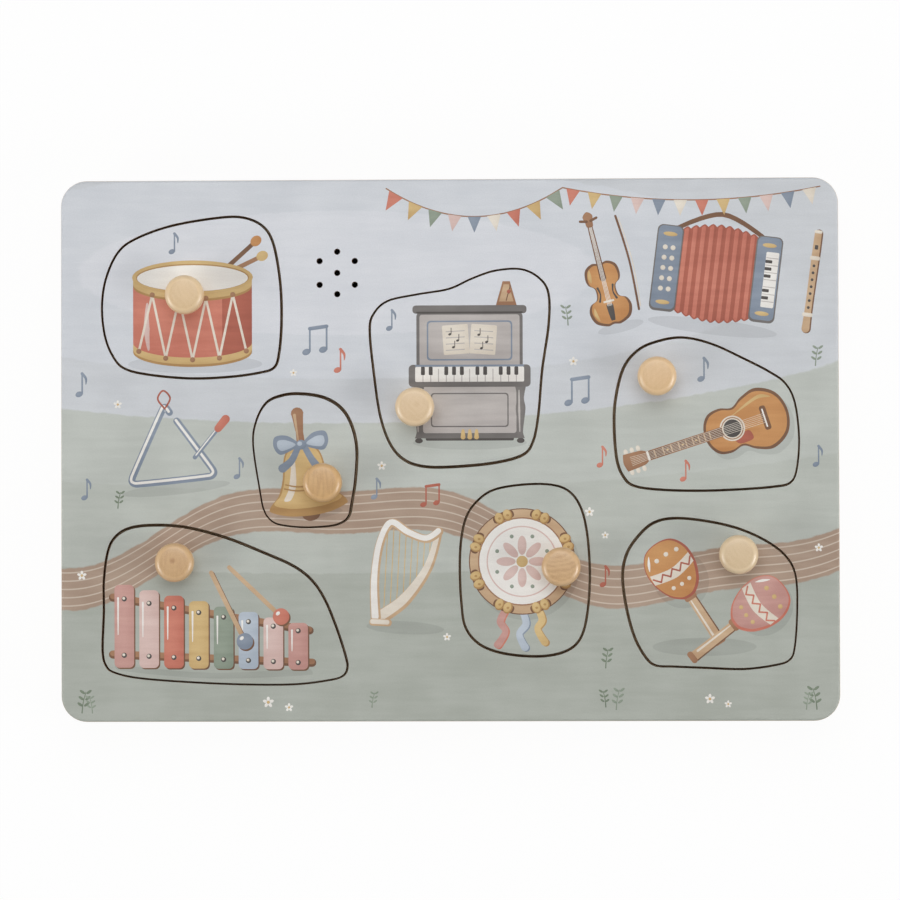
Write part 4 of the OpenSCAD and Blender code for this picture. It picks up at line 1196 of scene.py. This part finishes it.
# Piano: a warm grey upright with a music sheet, keys, turned legs and pedals, and a small metronome on its
# lid.
piano, paint = picture(8, 29)
paint("shade", oval(0, -26.2, 44, 5.4))
paint("ink", panel(0, -24.6, 34, 1.6), *[oval(x, -25.4, 3, 2) for x in (-19.6, 19.6)])
paint("charcoal", panel(0, -14, 39, 21, 1.0))
paint("stone", panel(0, -13.2, 36, 18.6, 1.0))
paint("charcoal", panel(0, -13.6, 30, 13.2, 1.2))
paint("stone", panel(0, -13.6, 29, 12.2, 1.0))
paint("mustard", *[stroke([(x, -21.5), (x, -24.0)], 1.1, 1.9) for x in (-2.6, 0, 2.6)])
paint("charcoal", panel(0, 11.5, 41, 25, 1.4))
paint("stone", panel(0, 12, 38.6, 22.4, 1.0))
paint("slate", panel(0, 13.2, 33, 15.4, 1.4))
paint("stone", panel(0, 13.2, 31.8, 14.2, 1.2))
paint("cream", panel(-5.3, 13.6, 10, 11.4, 0.5, 4), panel(5.3, 13.6, 10, 11.4, 0.5, -4))
for y in (17, 14.6, 12.2, 9.8):
    paint("stone", stroke([(-9, y - 0.4), (-2, y)], 0.35), stroke([(2, y), (9, y - 0.4)], 0.35))
for x, y in ((-7.6, 15.6), (-4.6, 13.2), (-6.2, 10.6), (3.6, 15.4), (6.6, 12.6), (4.6, 10.2)):
    paint("ink", oval(x, y, 1.2, 0.9, 20), stroke([(x + 0.5, y + 0.2), (x + 0.5, y + 2.4)], 0.3))
paint("charcoal", panel(0, 25.2, 44, 3.2, 1.3))
paint("ink", panel(0, 24.0, 41, 0.7, 0.3))
for x in (-19.6, 19.6):
    leg = [(2.2, -4, 1), (1.3, -9), (1.9, -13), (0.9, -22), (1.6, -24.5, 1)]
    paint("charcoal", moved(smooth(mirrored(leg)), x, 0))
    paint("stone", stroke([(x - 0.6, -6), (x - 0.5, -14), (x - 0.3, -22)], 0.3, 0.8, 0.3))
paint("charcoal", panel(0, -0.4, 47, 8.6, 1.6))
paint("chalk", panel(0, 0.2, 42, 5.8, 0.5))
paint("stone", *[panel(-21 + 3 * k, -0.2, 0.34, 5.0, 0.1) for k in range(1, 14)])
paint("ink", *[panel(-21 + 3 * k, 1.5, 1.5, 3.2, 0.35) for k in range(1, 14) if k % 7 not in (0, 3)])
paint("slate", panel(0, 3.5, 42, 0.8, 0.3))
paint("walnut", smooth([(10.2, 26.8, 1), (18.2, 26.8, 1), (15.6, 36, 1), (12.8, 36, 1)]))
paint("tan", smooth([(11.4, 28.2, 1), (17, 28.2, 1), (15.2, 34.8, 1), (13.2, 34.8, 1)]))
paint("bark", stroke([(14.2, 28.6), (15.8, 34.4)], 0.4))
paint("rust", oval(15.2, 32.0, 1.5, 1.5))
note(paint, "slate", -31, 18, 7)
cut_out("piano", piano)

# Guitar: an orange top in a dark edge, with a neck, strings, bridge and pegs.
guitar, paint = picture(103, 6, 18, 0.96)
guitar_edge = [
    (30, 0), (27.4, 8.4), (20.2, 12.6), (13.4, 10.8), (8.8, 8.0), (3.6, 9.2), (-1.6, 8.0), (-4.6, 3.2),
]
guitar_edge += [(x, -y) for x, y in reversed(guitar_edge[1:])]
paint("shade", smooth(moved(guitar_edge, 1.2, -2.6)))
paint("bark", smooth(guitar_edge))
paint("orange", smooth([((x - 12) * 0.94 + 12, y * 0.9) for x, y in guitar_edge]))
paint("mustard", smooth([(2.5, 3.5), (8.5, 5.2), (15, 8), (21, 9.6), (25, 7.4), (20, 8.2), (12, 6), (6, 4)]))
paint("rust", smooth([(6.5, -4.4), (12.4, -2.6), (13.6, -6.2), (10.4, -7), (7.4, -6.6)]))
for ink, wide in (("cream", 10.2), ("walnut", 9.0), ("cream", 8.2), ("ink", 7.2)):
    paint(ink, oval(6.6, 0, wide, wide))
paint("bark", panel(20.4, 0, 2.6, 10, 1.0))
paint("walnut", panel(-14, 0, 33, 4.0, 0.6))
paint("bark", panel(-13, 0, 31, 3.4, 0.4))
head = [(-29, 1.9, 1), (-31, 3.0), (-38.4, 3.5, 1), (-39.2, 0), (-38.4, -3.5, 1), (-31, -3.0), (-29, -1.9, 1)]
paint("cream", *[oval(x, side * 4.2, 1.7, 2.4) for x in (-31.8, -34.4, -37) for side in (-1, 1)])
paint("walnut", smooth(head))
paint("tan", *[panel(x, 0, 0.45, 3.3, 0.15) for x in (-26, -22.4, -19, -15.8, -12.8, -10, -7.4, -5, -2.8)])
paint("mustard", *[oval(x, 0, 0.9, 0.9) for x in (-20.7, -14.3, -8.7)])
paint("chalk", panel(-28.8, 0, 0.9, 3.8, 0.2), panel(20.2, 0, 0.6, 7.6, 0.2))
for y in (-1.35, -0.8, -0.27, 0.27, 0.8, 1.35):
    paint("cream", stroke([(-36, y * 1.3), (-28.8, y), (20.2, y * 1.35)], 0.15))
guitar_notes, paint = picture(0, 0)
note(paint, "slate", 97, 27, 8)
note(paint, "terracotta", 90, -11.5, 7)
cut_out("guitar", guitar, guitar_notes)

# Bell: a mustard hand bell with a walnut handle and a blue-grey bow.
bell, paint = picture(-56, -7, 7, 0.95)
paint("shade", oval(-0.5, -18.6, 28, 4.4))
paint("bark", oval(0.6, -18.4, 7.5, 6.0))
paint("walnut", stroke([(0, 8), (0, 15), (0, 22.5)], 3.6, 3.0, 5.2))
paint("tan", stroke([(-0.9, 11), (-1.2, 22)], 0.4, 1.3))
paint("ochre", smooth(mirrored([
    (0, 10.4), (5.4, 8.6), (7.8, 4.6), (9.2, -3.4), (11.6, -9.8), (15.2, -13.6), (15.8, -15.8), (9, -18.4),
    (0, -19.2),
])))
paint("mustard", smooth(mirrored([
    (0, 10.0), (4.8, 8.2), (7.2, 4.4), (8.4, -3.4), (10.6, -9.6), (13.8, -13.2), (8, -15.4), (0, -16.0),
])))
paint("cream", smooth([
    (-4.6, 6.6), (-5.4, 0), (-7.4, -8), (-9.6, -12), (-6.8, -12), (-4.2, -7), (-3.4, 0), (-3.4, 6),
]))
for y, wide in ((-5.6, 8.2), (-7.2, 8.9)):
    dips = ((-1, 0), (-0.5, 1.3), (0, 1.6), (0.5, 1.3), (1, 0))
    paint("ochre", stroke([(share * wide, y - dip) for share, dip in dips], 0.6))
paint("slate", stroke([(-1, 9.6), (-4.5, 4.0), (-8.6, 1.2)], 2.2, 2.8, 3.6))
paint("slate", stroke([(1, 9.6), (3.6, 3.4), (6.4, -1.4)], 2.2, 2.8, 3.6))
for side in (-1, 1):
    loop = [(0, 9.8, 1), (5, 14.0), (10.2, 14.2), (11.2, 10.2), (9, 6.8), (4.6, 7.8)]
    paint("slate", [(side * p[0], p[1]) for p in smooth(loop)])
    inner = [(2.2, 10.0), (6, 12.4), (9.2, 12.4), (9.6, 9.8), (7.8, 8.2)]
    paint("mist", [(side * p[0], p[1]) for p in smooth(inner)])
paint("slate", oval(0, 9.8, 4.2, 4.0))
paint("mist", oval(-0.5, 10.3, 2.0, 1.8))
cut_out("bell", bell)

# Xylophone: eight soft-coloured bars that shorten to the right on two walnut rails, with two mallets.
xylophone, paint = picture(-92, -67)
paint("shade", smooth([(-37, -15.6), (0, -18.6), (38, -17.2), (39, -19.4), (0, -20.8), (-36, -17.6)]))
for lift, ink, thick in ((0, "bark", 3.2), (0.5, "walnut", 2.2)):
    paint(ink, stroke([(-38, 10.5 + lift), (38, -2.4 + lift)], thick))
    paint(ink, stroke([(-38, -11.5 + lift), (39, -14.8 + lift)], thick))
BAR_INKS = ("rose", "blush", "terracotta", "mustard", "sage", "mist", "blush", "rose")
for k, ink in enumerate(BAR_INKS):
    x = -33.6 + 9.6 * k
    middle, tall = -0.6 - 1.12 * k, 32.0 - 2.0 * k
    paint("bark", panel(x + 0.5, middle - 0.5, 7.6, tall, 1.8))
    paint(ink, panel(x, middle, 7.6, tall, 1.8))
    paint("chalk", stroke([(x - 2.4, middle + tall * 0.34), (x - 2.4, middle - tall * 0.1)], 0.8, 0.3))
    for y in (middle + tall * 0.33, middle - tall * 0.35):
        paint("ink", oval(x, y, 2.0, 2.0))
        paint("cream", oval(x - 0.2, y + 0.2, 1.1, 1.1))
for ink, start, end in (("terracotta", (7, 22), (27, 3.0)), ("slate", (0, 20), (13, -6.5))):
    below = [(start[0] + 0.5, start[1] - 0.5), (end[0] + 0.5, end[1] - 0.5)]
    paint("bark", stroke(below, 1.7), oval(end[0] + 0.5, end[1] - 0.6, 6.4, 6.4))
    paint("tan", stroke([start, end], 1.7))
    paint(ink, oval(*end, 6.4, 6.4))
    paint("chalk", oval(end[0] - 1.2, end[1] + 1.2, 1.8, 1.3, 40))
cut_out("xylophone", xylophone)

# Tambourine: a pale skin in a tan frame with pairs of jingles, and ribbons tied below.
tambourine, paint = picture(28, -43)
paint("shade", oval(1.4, -1.8, 41.5, 41.5, sides=64))
for ink, edge_ink, path in (
    ("rose", "terracotta", [(-6, -18), (-8.5, -23), (-6.5, -27), (-9.5, -32)]),
    ("mist", "slate", [(0, -19), (1.4, -24), (-1.2, -28), (1.0, -33)]),
    ("mustard", "ochre", [(6, -18), (7.6, -22.5), (5.8, -26), (8.6, -31)]),
):
    paint(edge_ink, stroke(moved(path, 0.5, -0.3), 2.4, 2.8, 2.4, 3.0))
    paint(ink, stroke(path, 2.4, 2.8, 2.4, 3.0))
for ink, wide in (
    ("bark", 41.0), ("tan", 40.2), ("walnut", 34.0), ("chalk", 33.0), ("blush", 27.4), ("chalk", 26.4)
):
    paint(ink, oval(0, 0, wide, wide, sides=64))
for turn in range(0, 360, 45):
    paint("blush", oval(*polar(6.2, turn), 7.4, 3.4, turn))
    paint("sage", oval(*polar(10.4, turn + 22.5), 1.5, 1.5))
paint("mustard", oval(0, 0, 4.4, 4.4))
for k in range(8):
    turn = 45 * k + 22.5
    slit = polar(18.6, turn)
    paint("bark", panel(*slit, 3.0, 8.4, 1.2, turn))
    for shift in (-1.7, 1.7):
        jingle = slit + polar(shift, turn + 90)
        paint("ochre", oval(*jingle, 4.6, 3.6, turn))
        paint("mustard", oval(jingle.x - 0.2, jingle.y + 0.25, 3.9, 2.9, turn))
        paint("ochre", oval(*jingle, 1.1, 0.9))
cut_out("tambourine", tambourine)


# Maracas: an orange and a rose one, banded and dotted, with crossed tan handles.


def maraca(x, y, turn, ink, deep_ink, dots):
    """One maraca about the middle of its head, turned by degrees, with its dots in an ink of their own."""
    made, paint = picture(x, y, turn, 1.05)
    paint("bark", stroke([(0.4, -9), (0.4, -30)], 3.2, 3.8))
    paint("tan", stroke([(0, -8), (0, -30)], 3.0, 3.6))
    paint("cream", stroke([(-0.6, -13), (-0.7, -28)], 0.4, 0.9))
    paint("walnut", panel(0, -11.6, 4.8, 2.4, 0.9), panel(0, -31, 4.8, 2.2, 1.0))
    edge = mirrored([(0, 11.6), (5.6, 10.2), (8.8, 5.2), (8.9, -1.2), (6.4, -7.6), (2.8, -11), (0, -11.6)])
    paint(deep_ink, smooth(edge))
    paint(ink, smooth([(px * 0.93 - 0.3, py * 0.94 + 0.3) for px, py in edge]))
    band = [(-8.4, 2.6, 1), (0, 0.9), (8.2, 2.6, 1), (8.2, -1.2, 1), (0, -3.0), (-8.6, -1.2, 1)]
    paint("cream", smooth(band))
    zigzag = [(-8 + 2 * k, (-1.6 if k % 2 else 0.6) + 0.02 * (k - 4) ** 2) for k in range(9)]
    paint(deep_ink, *[stroke(pair, 0.6) for pair in zip(zigzag, zigzag[1:])])
    paint(dots, *[oval(dx, 6.4 - abs(dx) * 0.12, 1.7, 1.7) for dx in (-3.2, 1, 5.2)])
    paint(dots, *[oval(dx, -6.0 + abs(dx) * 0.1, 1.5, 1.5) for dx in (-3.4, 0, 3.4)])
    paint("chalk", smooth([(-4.8, 9), (-6.8, 6.6), (-7.5, 4.0), (-5.9, 6.2)]))
    return made


maraca_shades, paint = picture(0, 0)
paint("shade", oval(89, -50, 21, 23, 33), oval(121, -61, 21, 23, -50), oval(98, -76, 40, 7))
cut_out(
    "maracas",
    maraca_shades,
    maraca(86, -46.5, 33, "orange", "rust", "cream"),
    maraca(119, -60, -52, "rose", "terracotta", "mustard"),
)


# Knobs: turned from pale wood, with a flared foot, a soft shoulder and a barely domed top that shows end
# grain. Each is sanded, waxed and glued into its piece.

foot_low, foot_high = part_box("drum_knob")
KNOB_RADIUS = (foot_high.x - foot_low.x) / 2
KNOB_TOP = foot_high.z
KNOB_FOOT = 5.5 * MM
KNOB_SIDES = 72
FLARE = 5 * MM
FLARE_STEPS = 6
SHOULDER = 2.9 * MM
CROWN = 0.15 * MM
WAXED = {"Coat Weight": 0.9, "Coat Roughness": 0.32}

# What each knob's wood shows: its pale and deep tone, rings, streaks and pith, where the pith lies from the
# knob's axis in mm, and how the wood is turned in degrees.
KNOB_WOODS = {
    "drum": ((216, 188, 147), (193, 158, 111), 0.04, 0.08, 0.0, (9, 6), 20),
    "piano": ((216, 190, 153), (194, 161, 119), 0.03, 0.08, 0.3, (1, 1), 50),
    "guitar": ((215, 182, 138), (194, 154, 105), 0.04, 0.08, 0.0, (6, -7), 0),
    "bell": ((197, 157, 104), (165, 123, 70), 0.03, 0.24, 0.0, (0, 10), 0),
    "xylophone": ((198, 162, 116), (164, 122, 75), 0.03, 0.1, 0.8, (-0.4, 0.7), 0),
    "tambourine": ((200, 164, 119), (164, 124, 78), 0.12, 0.16, 0.0, (-2, 12), 75),
    "maracas": ((211, 187, 151), (189, 160, 119), 0.03, 0.08, 0.0, (8, 8), 30),
}


def knob_effect():
    """A turned knob: end grain with faint rings, streaks and pores on top, and sides lit by a painted
    highlight.
    """
    woods = tones((216, 190, 156), (190, 152, 108))
    tree, start, close = new_effect("turned_wood", **woods, Rings=0.3, Streaks=0.3, Pith=0.0)
    place = start["Place"]
    drift = cloudy(tree, place, 0.16, 2.0)
    reach = from_axis(tree, place)
    rings = calc(tree, "SINE", weighed(tree, (reach, 3.4), (drift, 9.0)))
    streaks = cloudy(tree, place, 1.0, 4.0, (0.9, 0.16, 0.3))
    pores = cloudy(tree, place, 3.2, 3.0)
    share = calc(tree, "MULTIPLY_ADD", rings, start["Rings"], spread(tree, pores, 0.2, 0.8, 0.1, 0.5))
    streaked = calc(tree, "MULTIPLY", spread(tree, streaks, 0.3, 0.7, -1.0, 1.0), start["Streaks"])
    heart = calc(tree, "MULTIPLY", spread(tree, reach, 1.5, 0.1), start["Pith"])
    share = calc(tree, "ADD", calc(tree, "ADD", share, streaked), heart)
    # Painted highlight: faces that tilt away from straight up are made paler and up to 7% brighter.
    painted_side_highlight = spread(tree, facing_up(tree), 0.998, 0.9)
    share = held(tree, calc(tree, "MULTIPLY_ADD", painted_side_highlight, -0.3, share))
    wood = mixed(tree, share, start["Light"], start["Dark"])
    return close(
        Colour=scaled(tree, wood, spread(tree, painted_side_highlight, 0.0, 1.0, 1.0, 1.07)),
        Roughness=spread(tree, pores, 0.2, 0.8, 0.36, 0.48),
        Height=pores,
    )


def turn_knob():
    """One knob in the middle of the board: a disc drawn up ring by ring, as if turned on a lathe."""
    outline = []
    for step in range(1, FLARE_STEPS + 1):
        share = step / FLARE_STEPS
        swell = (1 - math.cos(math.pi * share)) / 2
        outline.append((KNOB_FOOT + (KNOB_RADIUS - KNOB_FOOT) * swell, BOARD_FACE + FLARE * share))
    for angle in range(0, 91, 15):
        lean = math.radians(angle)
        radius = KNOB_RADIUS - SHOULDER * (1 - math.cos(lean))
        outline.append((radius, KNOB_TOP - CROWN - SHOULDER * (1 - math.sin(lean))))
    flat = outline[-1][0]
    for share in (0.75, 0.45, 0.15):
        outline.append((flat * share, KNOB_TOP - CROWN * share * share))

    bpy.ops.object.select_all(action="DESELECT")
    bpy.ops.mesh.primitive_circle_add(
        vertices=KNOB_SIDES, radius=KNOB_FOOT, fill_type="NGON", location=(0, 0, BOARD_FACE)
    )
    knob = bpy.context.object
    bpy.ops.object.transform_apply(location=True)
    bpy.ops.object.mode_set(mode="EDIT")
    bpy.ops.mesh.select_mode(type="FACE")
    bpy.ops.mesh.select_all(action="SELECT")
    radius, height = KNOB_FOOT, BOARD_FACE
    for next_radius, next_height in outline:
        bpy.ops.mesh.extrude_region_move(TRANSFORM_OT_translate={"value": (0, 0, next_height - height)})
        grow = next_radius / radius
        bpy.ops.transform.resize(value=(grow, grow, 1), center_override=(0, 0, next_height))
        radius, height = next_radius, next_height
    bpy.ops.mesh.select_all(action="SELECT")
    bpy.ops.mesh.normals_make_consistent(inside=False)
    bpy.ops.object.mode_set(mode="OBJECT")
    bpy.ops.object.shade_smooth_by_angle(angle=SHARP_BEND)
    return knob


turned = knob_effect()
pattern = turn_knob()
for name, (light, dark, rings, streaks, pith, offset, lie) in KNOB_WOODS.items():
    axis = middle_of(name + "_knob")
    knob = new_piece(name + "_grip", pattern.data.copy())
    knob.data.transform(Matrix.Translation((axis.x, axis.y, 0)))
    heart = (axis.x / MM + offset[0], axis.y / MM + offset[1], 0)
    figure = {**tones(light, dark), "Rings": rings, "Streaks": streaks, "Pith": pith}
    knob.data.materials.append(finish(name + "_wood", turned, 0.03, heart, (0, 0, lie), WAXED, **figure))
    seat(knob, name, name + "_knob")
bpy.data.objects.remove(pattern)


# Studio: a white floor that fades into a white surround, a broad soft lamp behind, a low one at either end,
# and a camera almost straight above, as far off and as little tilted as the board's outline in the picture
# asks.

FLOOR_WIDE = 6.0
FLOOR_DROP = 0.2 * MM
WHITE_SHARE = 0.94
FILL_LEVEL = 0.25
FLOOR_LEVEL = 0.6
VIEW_WIDTH = 346.8 * MM
VIEW_MIDDLE = Vector((0.35 * MM, 0, BOARD_FACE))
CAMERA_PLACE = Vector((47 * MM, -28 * MM, 1.62))
CAMERA_ROLL = math.radians(0.17)


def seen_ray(tree):
    """Above 0 for what the camera sees, also in a reflection or through something clear."""
    ray = put(tree, "LightPath").outputs
    not_direct = calc(tree, "ADD", ray["Is Glossy Ray"], ray["Is Transmission Ray"])
    return calc(tree, "ADD", ray["Is Camera Ray"], not_direct)


bpy.ops.object.select_all(action="DESELECT")
bpy.ops.mesh.primitive_plane_add(size=FLOOR_WIDE, location=(0, 0, cad_low.z - FLOOR_DROP))
floor = bpy.context.object
floor.name = "studio_floor"
bpy.ops.object.transform_apply(location=True)
paper, tree = new_finish("studio_paper")
tree.nodes.remove(tree.nodes["Principled BSDF"])
from_above = calc(tree, "SUBTRACT", 1.0, put(tree, "NewGeometry").outputs["Backfacing"])
lit_paper = put(tree, "BsdfDiffuse", {"Color": tone(247, 247, 247)}).outputs[0]
white_paper = put(tree, "Emission", {"Color": tone(255, 255, 255), "Strength": 1.0}).outputs[0]
shown = put(tree, "MixShader", {0: WHITE_SHARE, 1: lit_paper, 2: white_paper}).outputs[0]
clear = put(tree, "BsdfTransparent").outputs[0]
visible = calc(tree, "MULTIPLY", calc(tree, "MINIMUM", seen_ray(tree), 1.0), from_above)
result = put(tree, "MixShader", {0: visible, 1: clear, 2: shown}).outputs[0]
tree.links.new(result, tree.nodes["Material Output"].inputs["Surface"])
floor.data.materials.append(paper)

world = bpy.data.worlds.new("studio_surround")
bpy.context.scene.world = world
world.use_nodes = True
tree = world.node_tree
height = apart(tree, put(tree, "TexCoord").outputs["Generated"])[2]
fill = spread(tree, height, -0.1, 0.1, FLOOR_LEVEL, FILL_LEVEL)
level = spread(tree, seen_ray(tree), 0.0, 1.0, fill, 1.0)
tree.links.new(level, tree.nodes["Background"].inputs["Strength"])
tree.nodes["Background"].inputs["Color"].default_value = tone(255, 255, 255)

for name, place, wide, tall, power in (
    ("lamp_back", (0, 0.8, 1.3), 1.5, 1.5, 13.4),
    ("lamp_left", (-1.2, -0.4, 0.5), 0.7, 0.35, 7.0),
    ("lamp_right", (1.2, -0.4, 0.5), 0.7, 0.35, 8.0),
):
    bpy.ops.object.light_add(type="AREA", location=place)
    lamp = bpy.context.object
    lamp.name = name
    lamp.data.shape = "RECTANGLE"
    lamp.data.size = wide
    lamp.data.size_y = tall
    lamp.data.energy = power
    lamp.rotation_euler = (VIEW_MIDDLE - Vector(place)).to_track_quat("-Z", "Y").to_euler()

bpy.ops.object.camera_add(location=CAMERA_PLACE)
camera = bpy.context.object
sight = VIEW_MIDDLE - CAMERA_PLACE
camera.data.sensor_width = 36.0
camera.data.lens = camera.data.sensor_width * sight.length / VIEW_WIDTH
behind = -sight.normalized()
rightward = Vector((0, 1, 0)).cross(behind).normalized()
upright = Matrix((rightward, behind.cross(rightward), behind)).transposed()
camera.rotation_euler = (upright @ Matrix.Rotation(-CAMERA_ROLL, 3, "Z")).to_euler()
bpy.context.scene.camera = camera
